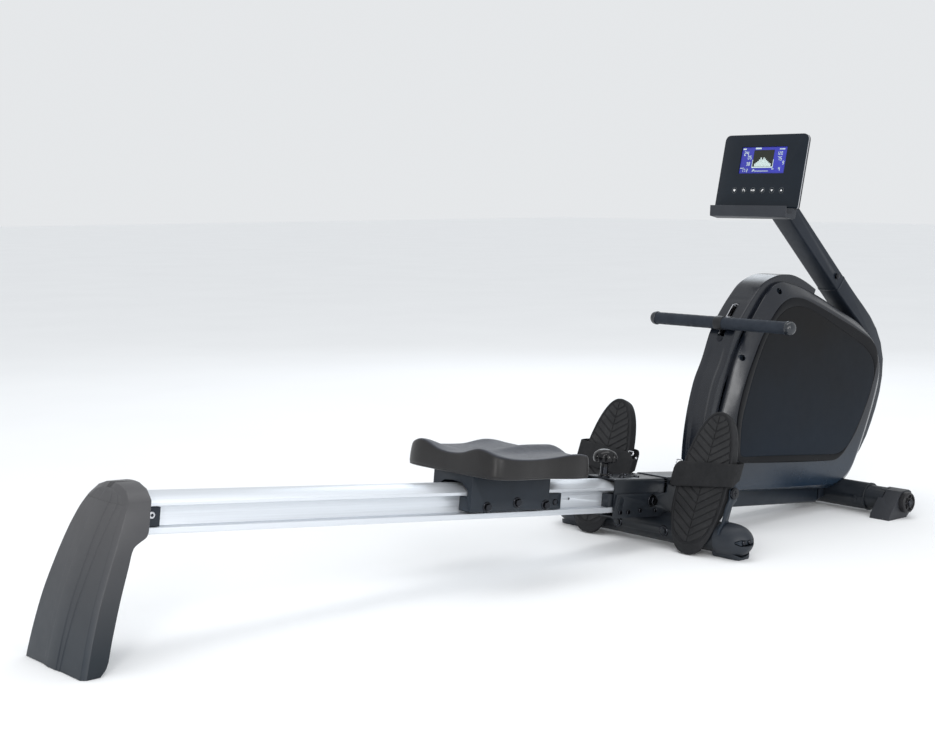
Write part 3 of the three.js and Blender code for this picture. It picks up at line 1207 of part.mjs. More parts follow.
// ---------- console ----------
{
  const half = CONSOLE_HALF;
  const mid = CONSOLE_HEIGHT / 2;
  function plateRing(inset, x) {
    return roundRect(2 * (half - inset), CONSOLE_HEIGHT - 2 * inset, 13 - inset * 0.4, 4)
      .map(([y, z]) => new THREE.Vector3(x, y, z + mid));
  }
  let body = loft([
    plateRing(0.8, FACE_SHEET + GAP), plateRing(0, FACE_SHEET + 2), plateRing(0, CONSOLE_DEPTH - 6),
    plateRing(2.5, CONSOLE_DEPTH - 2), plateRing(6, CONSOLE_DEPTH),
  ]);
  const recess = 5;
  body = body.subtract(box(0, FACE_SHEET + GAP + recess, -SCREEN[0] - 4, SCREEN[0] + 4, SCREEN[1] - 4, SCREEN[2] + 4));
  body = body.subtract(box(0, FACE_SHEET + GAP + recess, -84, 84, BUTTON_ROW_Z - 11, BUTTON_ROW_Z + 11));
  part('console_body', body, BLACK, 0.2, 0.5, consoleGroup);

  let face = loft([plateRing(1.2, 0), plateRing(0.2, 1), plateRing(0.2, FACE_SHEET)]);
  face = face.subtract(box(-1, FACE_SHEET + 1, -SCREEN[0], SCREEN[0], SCREEN[1], SCREEN[2]));
  for (let i = 0; i < 6; i += 1) {
    const y = BUTTON_PITCH * (2.5 - i);
    face = face.subtract(rodX(BUTTON_R + GAP, -1, FACE_SHEET + 1, y, BUTTON_ROW_Z, 14));
    const profileIn = -0.4;
    let button = rodX(BUTTON_R, profileIn, FACE_SHEET, y, BUTTON_ROW_Z, 14);
    button = button.add(rodX(BUTTON_R + 1.2, FACE_SHEET + GAP, FACE_SHEET + 1.6, y, BUTTON_ROW_Z, 14));
    button = button.add(rodX(BUTTON_R - 1, 0, FACE_SHEET + 1.2, y, BUTTON_ROW_Z, 14));
    part(`button_${i + 1}`, button, 0x101114, 0.1, 0.3, consoleGroup);
  }
  part('console_face', face, 0x0f1218, 0.2, 0.2, consoleGroup);
  const screen = box(FACE_SHEET - 1.2, FACE_SHEET + GAP + recess - GAP, -SCREEN[0] + GAP, SCREEN[0] - GAP,
    SCREEN[1] + GAP, SCREEN[2] - GAP);
  part('console_screen', screen, 0x3c3f9a, 0.1, 0.2, consoleGroup);

  // shelf and upstand under the face, for a phone or tablet
  const tray = [
    [-29.6, -0.8], [-24.6, -27], [4.9, -26.6], [14, -22], [14, -GAP], [0, -GAP], [-2, -14],
    [-21, -17.5], [-23.6, -14], [-26.6, -0.8],
  ];
  part('console_tray', slabY(tray, -TRAY_HALF, TRAY_HALF), 0x3a3739, 0.1, 0.6, consoleGroup);
}

// ---------- centre the part in x ----------
rower.updateMatrixWorld(true);
const extent = new THREE.Box3().setFromObject(rower, true);
machine.position.x = -(extent.min.x + extent.max.x) / 2;
rower.updateMatrixWorld(true);

export default rower;
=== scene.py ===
"""Looks of a folding rowing machine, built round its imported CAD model.

The working frame is the CAD source's own: millimetres, the main stabiliser bar at x = 0,
x forward to the flywheel, y to the left and the floor at z = 0. RAIL and CONSOLE are the two
tilted frames that the rail and the console are drawn in. Every piece is drawn in one of those
frames, or in one that tilted() puts among them, and piece() turns its millimetres into metres.
"""

import json
import math

import bmesh
import bpy
from mathutils import Matrix, Vector


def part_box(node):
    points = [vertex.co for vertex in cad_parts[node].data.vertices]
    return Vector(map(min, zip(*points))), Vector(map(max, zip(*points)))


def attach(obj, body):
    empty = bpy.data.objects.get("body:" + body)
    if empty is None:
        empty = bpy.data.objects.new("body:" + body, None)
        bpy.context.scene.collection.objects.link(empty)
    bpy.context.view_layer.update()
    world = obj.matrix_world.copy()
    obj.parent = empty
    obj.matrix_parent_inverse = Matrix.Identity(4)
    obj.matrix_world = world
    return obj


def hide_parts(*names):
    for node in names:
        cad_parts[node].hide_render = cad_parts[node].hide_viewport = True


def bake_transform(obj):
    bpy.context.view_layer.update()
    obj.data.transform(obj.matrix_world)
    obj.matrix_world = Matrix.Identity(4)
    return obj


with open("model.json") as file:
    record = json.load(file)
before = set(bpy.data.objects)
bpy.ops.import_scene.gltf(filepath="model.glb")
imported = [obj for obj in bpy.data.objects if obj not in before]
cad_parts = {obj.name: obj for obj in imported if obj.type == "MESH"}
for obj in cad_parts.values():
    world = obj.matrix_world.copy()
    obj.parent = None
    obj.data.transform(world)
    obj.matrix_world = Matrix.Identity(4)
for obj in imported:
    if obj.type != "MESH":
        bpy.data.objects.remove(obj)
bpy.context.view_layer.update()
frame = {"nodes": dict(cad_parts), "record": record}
NODES = frame["nodes"]
BODY_OF = {n: body for body, names in frame["record"]["behaviour"]["bodies"].items() for n in names}

MM = 0.001
DEG = math.pi / 180
AXLE = (12, 144)  # the pedal axle, in x and z
BAR = (0, 41)  # the main stabiliser's axis, in x and z
FRONT_AXIS = (670, 40)  # the front stabiliser's axis, in x and z
TINY = 1e-4  # mm, the least radius of a turned profile
WELD, CAD_WELD = 2e-6, 1e-5  # m, corners this close become one, in a drawn shape and in a CAD node
FLAT = 0.6  # degrees, a CAD node's faces this close to one plane become one
SHARP = 35  # degrees, the usual angle from which an edge stays crisp


# ---------- frames ----------
def centre_of(node):
    low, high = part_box(node)
    return (Vector(low) + Vector(high)) / 2


MACHINE = Matrix.Translation((centre_of("pedal_axle").x - AXLE[0] * MM, 0, 0))


def tilted(origin, angle):
    """A frame of the machine with its origin moved, and then turned about Y."""
    return MACHINE @ Matrix.Translation(Vector(origin) * MM) @ Matrix.Rotation(angle, 4, "Y")


FOLD_PIVOT = (-54.5, 0, 108.6)
CONSOLE_FOOT = (366, 0, 777)
RAIL_INCLINE = 5.85 * DEG
CONSOLE_LEAN = 13.2 * DEG
RAIL = tilted(FOLD_PIVOT, RAIL_INCLINE)
CONSOLE = tilted(CONSOLE_FOOT, CONSOLE_LEAN)
SIDES = (("right", -1), ("left", 1))


# ---------- mesh helpers ----------
def piece(
    name, shape, paint, where=MACHINE, body="frame", replaces=(), smooth=SHARP, bevel=0, segments=2, under=0,
):
    """Closed bodies as one object, in the slot of its paint. The shape is drawn in the frame `where`."""
    mesh = bpy.data.meshes.new(name)
    finish_mesh(drawn(shape), mesh, smooth, bevel, segments)
    obj = placed(name, mesh, where, body, paint, replaces)
    if under:
        modifier = obj.modifiers.new("finer", "SUBSURF")
        modifier.levels = modifier.render_levels = under
    return obj


def drawn(shape):
    """An edit mesh from (verts in millimetres, faces)."""
    verts, faces = shape
    bm = bmesh.new()
    made = [bm.verts.new(Vector(v) * MM) for v in verts]
    for face in faces:
        bm.faces.new([made[i] for i in face])
    return bm


def finish_mesh(bm, mesh, smooth, bevel, segments, tidy=True):
    """Welds doubles, turns the faces outwards, rounds the sharp edges and marks what stays crisp."""
    if tidy:
        bmesh.ops.remove_doubles(bm, verts=bm.verts, dist=WELD)
    bmesh.ops.recalc_face_normals(bm, faces=bm.faces)
    if bevel:
        sharp = [e for e in bm.edges if e.is_manifold and e.calc_face_angle(0) > smooth * DEG]
        bmesh.ops.bevel(
            bm, geom=sharp, offset=bevel * MM, segments=segments, profile=0.5,
            affect="EDGES", clamp_overlap=True, miter_outer="ARC",
        )
    for face in bm.faces:
        face.smooth = True
    mark_edges(bm, smooth)
    bm.to_mesh(mesh)
    bm.free()


def mark_edges(bm, angle):
    for edge in bm.edges:
        edge.smooth = not edge.is_manifold or edge.calc_face_angle(0) < angle * DEG


def placed(name, mesh, where, body, paint, replaces):
    obj = bpy.data.objects.new(name, mesh)
    bpy.context.scene.collection.objects.link(obj)
    obj.matrix_world = where.copy()
    bpy.context.view_layer.update()
    mesh.materials.append(paint)
    if isinstance(body, tuple):
        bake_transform(obj)
    else:
        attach(obj, body)
    if replaces:
        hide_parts(*replaces)
    return obj


def refined(node, paint, bevel=0.5, smooth=32, segments=2, name=None):
    """A copy of a CAD node with merged flat faces and rounded edges, which stands for it."""
    source = NODES[node]
    bm = bmesh.new()
    bm.from_mesh(source.data)
    for layer in list(bm.loops.layers.uv):
        bm.loops.layers.uv.remove(layer)
    bmesh.ops.remove_doubles(bm, verts=bm.verts, dist=CAD_WELD)
    bmesh.ops.dissolve_limit(bm, angle_limit=FLAT * DEG, verts=bm.verts, edges=bm.edges)
    mesh = bpy.data.meshes.new(node + "_finish")
    finish_mesh(bm, mesh, smooth, bevel, segments, tidy=False)
    return placed(name or node + "_finish", mesh, Matrix.Identity(4), BODY_OF[node], paint, (node,))


def merged(*shapes):
    verts, faces = [], []
    for more_verts, more_faces in shapes:
        start = len(verts)
        verts += list(more_verts)
        faces += [tuple(i + start for i in face) for face in more_faces]
    return verts, faces


def loft(rings, loop=False):
    """Quads between matched closed rings; flat ends, or joined end to start if loop."""
    count = len(rings[0])
    verts = [tuple(p) for ring in rings for p in ring]
    faces = []
    rows = len(rings) if loop else len(rings) - 1
    for row in range(rows):
        below = row * count
        above = (row + 1) % len(rings) * count
        for i in range(count):
            j = (i + 1) % count
            faces.append((below + i, below + j, above + j, above + i))
    if not loop:
        faces.append(tuple(range(count)))
        faces.append(tuple(range(len(verts) - count, len(verts))))
    return verts, faces


def about(axis, u, v, along):
    """A point from two coordinates across an axis and one along it."""
    return {"X": (along, u, v), "Y": (u, along, v), "Z": (u, v, along)}[axis]


def angles(steps, shift=0.0):
    return [2 * math.pi * (i + shift) / steps for i in range(steps)]


def ring_about(axis, at, along, reach, turns):
    """A closed ring at the angles in turns; reach is one radius, or gives the radius for an angle."""
    ring = []
    for angle in turns:
        radius = reach(angle) if callable(reach) else reach
        ring.append(about(axis, at[0] + radius * math.cos(angle), at[1] + radius * math.sin(angle), along))
    return ring


def turned(profile, axis, at, steps=48, loop=False):
    """[radius, along] pairs spun about an axis through `at`."""
    turns = angles(steps, 0.5)
    return loft([ring_about(axis, at, along, max(radius, TINY), turns) for radius, along in profile], loop)


def spun(profile, sign, at, steps, loop=False):
    """turned() about Y, with the profile on one side of the machine: sign is -1 or 1."""
    return turned([(radius, sign * along) for radius, along in profile], "Y", at, steps, loop)


def prism(outline, axis, low, high):
    return loft([[about(axis, u, v, along) for u, v in outline] for along in (low, high)])


def block(x0, x1, y0, y1, z0, z1):
    return prism([(x0, y0), (x1, y0), (x1, y1), (x0, y1)], "Z", z0, z1)


def filleted(corners, radii, steps=4):
    """Corners of a closed outline, in 2-D or 3-D, rounded by quadratic arcs."""
    points = []
    count = len(corners)
    if not isinstance(radii, (list, tuple)):
        radii = [radii] * count
    for i, corner in enumerate(corners):
        here = Vector(corner)
        back = Vector(corners[i - 1]) - here
        ahead = Vector(corners[(i + 1) % count]) - here
        reach = min(radii[i], 0.48 * back.length, 0.48 * ahead.length)
        if reach < 0.05:
            points.append(tuple(here))
            continue
        start = here + back.normalized() * reach
        end = here + ahead.normalized() * reach
        for k in range(steps + 1):
            t = k / steps
            points.append(tuple(start * (1 - t) ** 2 + here * 2 * t * (1 - t) + end * t * t))
    return points


def flowing(points, steps, closed=False):
    """A centripetal curve through the points, `steps` samples per span."""
    known = [Vector(p) for p in points]
    count = len(known)
    spans = count if closed else count - 1
    out = []
    for i in range(spans):
        p1, p2 = known[i], known[(i + 1) % count]
        p0 = known[i - 1] if closed or i > 0 else p1 * 2 - p2
        after = (i + 2) % count
        p3 = known[after] if closed or i + 2 < count else p2 * 2 - p1
        a, b, c = (max((q - p).length, 1e-6) ** 0.5 for p, q in ((p0, p1), (p1, p2), (p2, p3)))
        m1 = (p1 - p0) / a - (p2 - p0) / (a + b) + (p2 - p1) / b
        m2 = (p2 - p1) / b - (p3 - p1) / (b + c) + (p3 - p2) / c
        m1, m2 = m1 * b, m2 * b
        for k in range(steps):
            t = k / steps
            out.append(
                p1 * (2 * t ** 3 - 3 * t * t + 1) + m1 * (t ** 3 - 2 * t * t + t)
                + p2 * (3 * t * t - 2 * t ** 3) + m2 * (t ** 3 - t * t)
            )
    if not closed:
        out.append(known[-1])
    return out


def bell(value):
    return math.exp(-value * value)


def eased(value):
    """0 below 0, 1 above 1, smooth between."""
    value = min(max(value, 0), 1)
    return value * value * (3 - 2 * value)


def strip_grid(outer, inner, kept):
    """A thick sheet from two matched grids of points, without the cells that kept() turns down."""
    rows, columns = len(outer), len(outer[0])
    size = rows * columns
    verts = [tuple(p) for row in outer + inner for p in row]
    cell = {(i, j) for i in range(rows - 1) for j in range(columns - 1) if kept(i, j)}
    faces = []
    for i, j in sorted(cell):
        a, b = i * columns + j, i * columns + j + 1
        c, d = b + columns, a + columns
        faces.append((a, b, c, d))
        faces.append((d + size, c + size, b + size, a + size))
        for (p, q), neighbour in (
            ((a, b), (i - 1, j)), ((b, c), (i, j + 1)), ((c, d), (i + 1, j)), ((d, a), (i, j - 1)),
        ):
            if neighbour not in cell:
                faces.append((q, p, p + size, q + size))
    return verts, faces


# ---------- materials ----------
class Paint:
    """A node material built in steps. Sockets are passed from one step to the next."""

    def __init__(self, name, rough=0.5, metallic=0.0, **sockets):
        self.material = bpy.data.materials.new(name)
        self.material.use_nodes = True
        self.tree = self.material.node_tree
        self.shader = self.tree.nodes["Principled BSDF"]
        for socket, value in {"Roughness": rough, "Metallic": metallic, **sockets}.items():
            self.shader.inputs[socket.replace("_", " ")].default_value = value
        self.place = self.add("ShaderNodeTexCoord").outputs["Object"]

    def add(self, kind, inputs=None, **settings):
        """A new node; its inputs are given as {name or number: socket or constant}."""
        node = self.tree.nodes.new(kind)
        for key, value in settings.items():
            setattr(node, key, value)
        for key, value in (inputs or {}).items():
            self.join(value, node.inputs[key])
        return node

    def join(self, value, socket):
        if isinstance(value, bpy.types.NodeSocket):
            self.tree.links.new(value, socket)
        else:
            socket.default_value = value

    def stretched(self, scale, turn):
        inputs = {"Vector": self.place, "Scale": scale, "Rotation": turn}
        return self.add("ShaderNodeMapping", inputs, vector_type="TEXTURE").outputs["Vector"]

    def noise(self, scale, detail, rough=0.55, vector=None):
        inputs = {"Vector": vector or self.place, "Scale": scale, "Detail": detail, "Roughness": rough}
        return self.add("ShaderNodeTexNoise", inputs).outputs["Fac"]

    def cells(self, scale):
        return self.add("ShaderNodeTexVoronoi", {"Vector": self.place, "Scale": scale}).outputs["Distance"]

    def spread(self, value, low, high, from_low=0.3, from_high=0.7):
        """from_low becomes low and from_high becomes high, and so in between."""
        inputs = {"Value": value, "From Min": from_low, "From Max": from_high, "To Min": low, "To Max": high}
        return self.add("ShaderNodeMapRange", inputs).outputs["Result"]

    def sums(self, operation, a, b):
        return self.add("ShaderNodeMath", {0: a, 1: b}, operation=operation).outputs[0]

    def blend(self, factor, a, b):
        inputs = {"Factor": factor, 6: opaque(a), 7: opaque(b)}
        return self.add("ShaderNodeMix", inputs, data_type="RGBA").outputs[2]

    def axis(self, name, kind="Object"):
        """One coordinate of the place, or of the surface's direction where kind is Normal."""
        source = self.place if kind == "Object" else self.add("ShaderNodeTexCoord").outputs[kind]
        return self.add("ShaderNodeSeparateXYZ", {0: source}).outputs[name]

    def colour(self, value):
        self.join(opaque(value), self.shader.inputs["Base Color"])

    def rough(self, value):
        self.join(value, self.shader.inputs["Roughness"])

    def bump(self, height, depth):
        """depth in millimetres is what the full range of height stands for."""
        normal = self.shader.inputs["Normal"]
        inputs = {"Height": height, "Distance": depth * MM, "Strength": 1}
        if normal.is_linked:
            inputs["Normal"] = normal.links[0].from_socket
        self.join(self.add("ShaderNodeBump", inputs).outputs["Normal"], normal)


def opaque(value):
    """A colour with its alpha; a socket stays as it is."""
    return (*value, 1) if isinstance(value, tuple) else value


def moulded(name, dark, light, rough, depth=0.05, gloss=0.3):
    """Moulded plastic: faint cloudy colour, fine grain and slightly uneven gloss."""
    paint = Paint(name, rough, Specular_IOR_Level=gloss)
    paint.colour(paint.blend(paint.spread(paint.noise(9, 4), 0, 1), dark, light))
    paint.rough(paint.spread(paint.noise(40, 3), rough - 0.04, rough + 0.04))
    paint.bump(paint.noise(900, 2, 0.6), depth)
    return paint.material


def coated(name, dark, light, rough):
    """Powder-coated steel: orange-peel skin with tiny bright flecks in the pigment."""
    paint = Paint(name, rough, 0.1, Specular_IOR_Level=0.3, Coat_Weight=0.1, Coat_Roughness=0.25)
    flecks = paint.spread(paint.noise(2600, 1), 0, 1, 0.55, 0.75)
    cloud = paint.spread(paint.noise(14, 3), 0, 0.6)
    paint.colour(paint.blend(paint.sums("ADD", cloud, paint.sums("MULTIPLY", flecks, 0.4)), dark, light))
    paint.rough(paint.spread(paint.noise(60, 3), rough - 0.05, rough + 0.06))
    paint.bump(paint.noise(420, 2), 0.06)
    return paint.material


def plated(name, base, rough, stretch=(1, 1, 1), turn=(0, 0, 0), metallic=1.0):
    """Bare or plated metal; with a stretch its fine grain becomes brushed lines."""
    paint = Paint(name, rough, metallic)
    lines = paint.noise(700, 3, 0.7, vector=paint.stretched(stretch, turn))
    shade = tuple(c * 0.9 for c in base)
    paint.colour(paint.blend(paint.spread(lines, 0, 1), shade, base))
    paint.rough(paint.spread(lines, rough - 0.05, rough + 0.1))
    paint.bump(lines, 0.02)
    return paint.material


def rubbery(name, dark, light, rough, gloss=0.25):
    """Rubber, foam or webbing: dusty mottling and a coarse matt grain."""
    paint = Paint(name, rough, Specular_IOR_Level=gloss)
    dust = paint.spread(paint.noise(22, 5, 0.65), 0, 1, 0.35, 0.8)
    paint.colour(paint.blend(dust, dark, light))
    paint.rough(paint.spread(paint.noise(90, 3), rough - 0.08, rough + 0.08))
    paint.bump(paint.noise(1400, 2), 0.12)
    return paint.material


def seat_foam():
    """Self-skinned foam: warm black sides and a bluish top with a fine embossed grain; the top, found by how
    far it faces up, is also painted lighter as painted light from above.
    """
    paint = Paint("seat_skin_painted_top_light", 0.45, Specular_IOR_Level=0.3, Sheen_Weight=0.06, Sheen_Roughness=0.4)
    # up: how far a face points upward; it carries the painted light on the top, and a rougher top
    up = paint.spread(paint.axis("Z", "Normal"), 0, 1, 0.35, 0.9)
    cloud = paint.spread(paint.noise(18, 4), 0, 1)
    side = paint.blend(cloud, (0.012, 0.0115, 0.012), (0.018, 0.0172, 0.0175))
    top = paint.blend(cloud, (0.020, 0.023, 0.034), (0.029, 0.033, 0.046))
    # painted light: upward faces take the lighter top colour
    paint.colour(paint.blend(up, side, top))
    uneven = paint.spread(paint.noise(70, 3), -0.03, 0.05)
    paint.rough(paint.sums("ADD", paint.spread(up, 0.34, 0.5, 0, 1), uneven))
    paint.bump(paint.cells(620), 0.14)
    paint.bump(paint.noise(1800, 2), 0.05)
    return paint.material


def leg_plastic_painted_shade():
    """Moulded grey plastic, warmer at the head; painted shade makes it bluer and darker towards the floor,
    and darker still low down on its flanks where they face sideways.
    """
    paint = Paint("leg_skin_painted_shade", 0.32, Specular_IOR_Level=0.34)
    # painted shade: low down, faces turned sideways take the darker side colour
    flank = paint.spread(paint.sums("ABSOLUTE", paint.axis("Y", "Normal"), 0.0), 0, 1, 0.75, 0.95)
    cloud = paint.spread(paint.noise(8, 4), 0, 1)
    # high is the plastic at the head; low and side are it in painted shade, towards the floor and on the
    # flanks
    high = paint.blend(cloud, (0.060, 0.060, 0.064), (0.070, 0.070, 0.074))
    low = paint.blend(cloud, (0.018, 0.024, 0.032), (0.024, 0.031, 0.040))
    side = paint.blend(cloud, (0.006, 0.010, 0.015), (0.009, 0.014, 0.020))
    low = paint.blend(flank, low, side)
    # painted shade: from 0.03 to 0.26 m up, the shaded colours give way to the head's
    paint.colour(paint.blend(paint.spread(paint.axis("Z"), 0, 1, 0.03, 0.26), low, high))
    paint.rough(paint.spread(paint.noise(50, 3), 0.34, 0.42))
    paint.bump(paint.noise(1100, 2, 0.6), 0.03)
    return paint.material


def graded(name, low, high, z_low, z_high, rough, gloss=0.3):
    """Moulded plastic whose colour shifts with height above the floor, in metres."""
    paint = Paint(name, rough, Specular_IOR_Level=gloss)
    cloud = paint.spread(paint.noise(7, 4), -0.12, 0.12)
    share = paint.sums("ADD", paint.spread(paint.axis("Z"), 0, 1, z_low, z_high), cloud)
    paint.colour(paint.blend(share, low, high))
    paint.rough(paint.spread(paint.noise(40, 3), rough - 0.04, rough + 0.04))
    paint.bump(paint.noise(900, 2, 0.6), 0.03)
    return paint.material


# each paint's name, its colours and its roughness; graded() has two heights in metres before its roughness
BLACK_STEEL = coated("black_steel_skin", (0.009, 0.0115, 0.015), (0.016, 0.020, 0.027), 0.34)
DARK_STEEL = coated("dark_steel_skin", (0.012, 0.018, 0.027), (0.020, 0.028, 0.040), 0.36)
MAST_STEEL = coated("mast_skin", (0.010, 0.014, 0.021), (0.016, 0.021, 0.031), 0.4)
STEEL = plated("steel_skin", (0.62, 0.63, 0.66), 0.28)
ALUMINIUM = plated(
    "rail_skin", (0.70, 0.735, 0.78), 0.36, stretch=(250, 1, 1), turn=(0, RAIL_INCLINE, 0), metallic=0.62,
)
BOLT = plated("bolt_skin", (0.035, 0.037, 0.043), 0.2)
CARRIAGE = coated("carriage_skin", (0.010, 0.015, 0.022), (0.015, 0.022, 0.033), 0.36)
BLACK_PLASTIC = moulded("black_plastic_skin", (0.009, 0.010, 0.012), (0.014, 0.015, 0.018), 0.42)
# SHELL: the shell's own dark navy, painted lighter and bluer below 0.10 to 0.22 m as a painted reflection
SHELL = graded("shell_skin_painted_reflection", (0.010, 0.021, 0.038), (0.007, 0.009, 0.014), 0.10, 0.22, 0.24, gloss=0.5)
BORDER = moulded("panel_border_skin", (0.003, 0.0035, 0.005), (0.005, 0.0055, 0.007), 0.3, gloss=0.13)
PANEL = graded("panel_skin", (0.007, 0.012, 0.020), (0.006, 0.006, 0.0065), 0.16, 0.5, 0.42, gloss=0.11)
CAP_PLASTIC = moulded("cap_plastic_skin", (0.017, 0.021, 0.028), (0.025, 0.030, 0.038), 0.44, depth=0.07)
FOOT_PLASTIC = moulded("foot_plastic_skin", (0.030, 0.032, 0.037), (0.042, 0.045, 0.052), 0.5, depth=0.09)
KNOB_PLASTIC = moulded("knob_skin", (0.004, 0.004, 0.005), (0.007, 0.007, 0.008), 0.13)
GLOSS = moulded("console_skin", (0.006, 0.010, 0.016), (0.008, 0.013, 0.020), 0.12, depth=0.005, gloss=0.24)
GLASS = moulded("screen_skin", (0.035, 0.04, 0.34), (0.045, 0.05, 0.4), 0.15, depth=0.005)
TRAY = moulded("tray_skin", (0.024, 0.027, 0.034), (0.032, 0.036, 0.044), 0.5)
WINDOW = moulded("window_skin", (0.016, 0.018, 0.014), (0.022, 0.025, 0.018), 0.3, depth=0.005)
PALE = moulded("display_ink", (0.55, 0.66, 0.66), (0.62, 0.74, 0.7), 0.4, depth=0.005)
PALE_INK = moulded("icon_ink", (0.78, 0.78, 0.78), (0.85, 0.85, 0.85), 0.5, depth=0.005)
DIM_INK = moulded("ring_ink", (0.10, 0.11, 0.12), (0.14, 0.15, 0.16), 0.4, depth=0.005)
SEAT = seat_foam()
LEG_PLASTIC_PAINTED_SHADE = leg_plastic_painted_shade()
GRIP = rubbery("grip_skin", (0.016, 0.021, 0.030), (0.026, 0.033, 0.045), 0.6, gloss=0.2)
GRIP_CAP = moulded("grip_cap_skin", (0.012, 0.015, 0.020), (0.018, 0.022, 0.028), 0.2, gloss=0.6)
RUBBER = rubbery("rubber_skin", (0.010, 0.0105, 0.012), (0.017, 0.0175, 0.02), 0.62)
TREAD = rubbery("tread_skin", (0.016, 0.0165, 0.018), (0.028, 0.0285, 0.03), 0.6)
WEBBING = rubbery("webbing_skin", (0.010, 0.0105, 0.012), (0.018, 0.0185, 0.02), 0.75)
NYLON = rubbery("nylon_skin", (0.02, 0.02, 0.022), (0.03, 0.03, 0.033), 0.4)


# ---------- cutting, and heads of bolts and screws ----------
def carved(obj, *cutters):
    """Cuts shapes given as (shape, frame) out of a piece, exactly, and applies the result."""
    helpers = []
    for shape, where in cutters:
        mesh = bpy.data.meshes.new("cutter")
        bm = drawn(shape)
        bmesh.ops.recalc_face_normals(bm, faces=bm.faces)
        bm.to_mesh(mesh)
        bm.free()
        helper = bpy.data.objects.new("cutter", mesh)
        helper.matrix_world = where.copy()
        bpy.context.scene.collection.objects.link(helper)
        modifier = obj.modifiers.new("cut", "BOOLEAN")
        modifier.operation = "DIFFERENCE"
        modifier.solver = "EXACT"
        modifier.object = helper
        helpers.append(helper)
    bpy.context.view_layer.update()
    applied(obj)
    for helper in helpers:
        mesh = helper.data
        bpy.data.objects.remove(helper)
        bpy.data.meshes.remove(mesh)
    bm = bmesh.new()
    bm.from_mesh(obj.data)
    bmesh.ops.remove_doubles(bm, verts=bm.verts, dist=WELD)
    mark_edges(bm, SHARP)
    bm.to_mesh(obj.data)
    bm.free()


def applied(obj):
    """Makes the result of the modifiers the object's own mesh."""
    graph = bpy.context.evaluated_depsgraph_get()
    result = bpy.data.meshes.new_from_object(obj.evaluated_get(graph), depsgraph=graph)
    old = obj.data
    obj.modifiers.clear()
    obj.data = result
    bpy.data.meshes.remove(old)


def hexagon(axis, at, radius, low, high, turn, chamfer=1.2):
    """Hex head along an axis; the chamfer is on the outer end, whichever way it points."""
    out = 1 if high > low else -1
    turns = [turn + i * math.pi / 3 for i in range(6)]
    profile = ((low, radius), (high - out * chamfer * 0.7, radius), (high, radius - chamfer))
    return loft([ring_about(axis, at, along, reach, turns) for along, reach in profile])


def screw_head(axis, at, radius, low, high, steps=28):
    """Round head with a hexagonal socket in its outer end, whichever way that points."""
    out = 1 if high > low else -1
    socket = radius * 0.52
    depth = low + (high - low) * 0.3

    def six_sided(angle):
        local = (angle % (math.pi / 3)) - math.pi / 6
        return socket * math.cos(math.pi / 6) / math.cos(local)

    profile = [
        (low, radius), (high - out * radius * 0.18, radius), (high - out * radius * 0.05, radius * 0.93),
        (high, radius * 0.84), (high, six_sided), (depth, six_sided),
    ]
    return loft([ring_about(axis, at, along, reach, angles(steps)) for along, reach in profile])


# ---------- rail, stops and channel ----------
refined("rail", ALUMINIUM, bevel=0.8, segments=3)
refined("front_stop", CARRIAGE, bevel=1.2)
refined("rear_stop", CARRIAGE, bevel=1.6, segments=3)
for side, sign in SIDES:
    for name, paint, at, radius, top in (
        ("stop_screws_", STEEL, (-1312, 9), 6.6, 44.4), ("front_stop_screw_", BOLT, (-305, 4), 7, 44.2),
    ):
        piece(name + side, screw_head("Y", at, radius, sign * 40.5, sign * top), paint, RAIL, "rail_body")
refined("rail_channel", BLACK_STEEL, bevel=0.7)
channel_screws = [screw_head("Z", (x, y), 7, 50.4, 54.6) for x in (-72, -22) for y in (-18, 18)]
piece("channel_screws", merged(*channel_screws), BOLT, RAIL, "rail_body")


# ---------- lock knob ----------
def lock_knob():
    profile = flowing([
        (0.01, 50.9), (11, 51.2), (11, 55), (9, 60), (9.2, 72), (10, 81), (13, 83.2), (22, 84.2), (26.5, 87),
        (28, 92), (27.6, 98), (25.6, 103.5), (21.5, 108.2), (15, 112.3), (7.5, 114.8), (0.01, 115.5),
    ], 4)
    axis, body = (-112, 0), BODY_OF["lock_knob"]
    flutes, flute_depth = 8, 3.6
    rings = []
    for radius, z in profile:
        skirt = eased((z - 84) / 5) * eased((106 - z) / 7)

        def fluted(angle):
            return radius - flute_depth * skirt * max(math.cos(flutes * angle), 0) ** 2.5

        rings.append(ring_about("Z", axis, z, fluted, angles(96)))
    piece("lock_knob_head", loft(rings), KNOB_PLASTIC, RAIL, body, replaces=("lock_knob",), smooth=50)
    collar = turned([(14, 50.9), (14, 53.4), (12.6, 54.4), (9.6, 54.4), (9.6, 74), (8, 74)], "Z", axis, 40)
    pin = turned([(4, -32.7), (5, -31.2), (5, 50.8)], "Z", axis, 24)
    piece("lock_knob_stem", merged(collar, pin), BOLT, RAIL, body)


lock_knob()

# ---------- rear leg ----------
# height, then x of its back and front, then half its width
LEG_KNOTS = [
    (1, -1527.5, -1500, 107), (14, -1524.5, -1488, 106.5), (59, -1513, -1474.5, 103.7),
    (118, -1494.7, -1456, 99.2), (176, -1471.5, -1434.4, 93.6), (208, -1457.6, -1421, 89.6),
    (216, -1454, -1409, 88.4), (224, -1450.4, -1394, 87.1), (232, -1446.8, -1389, 85.6),
    (243, -1441.3, -1386, 83.4), (258, -1434, -1382, 79.6), (272, -1426.4, -1377.6, 75.2),
    (284, -1418.6, -1373, 70),
]
LEG_HEAD = [
    (286, -1417.4, -1372.4, 68.6), (302, -1411, -1368.9, 48.5), (310.4, -1410.7, -1368.6, 21.5),
    (311.3, -1410.7, -1368.6, 8),
]


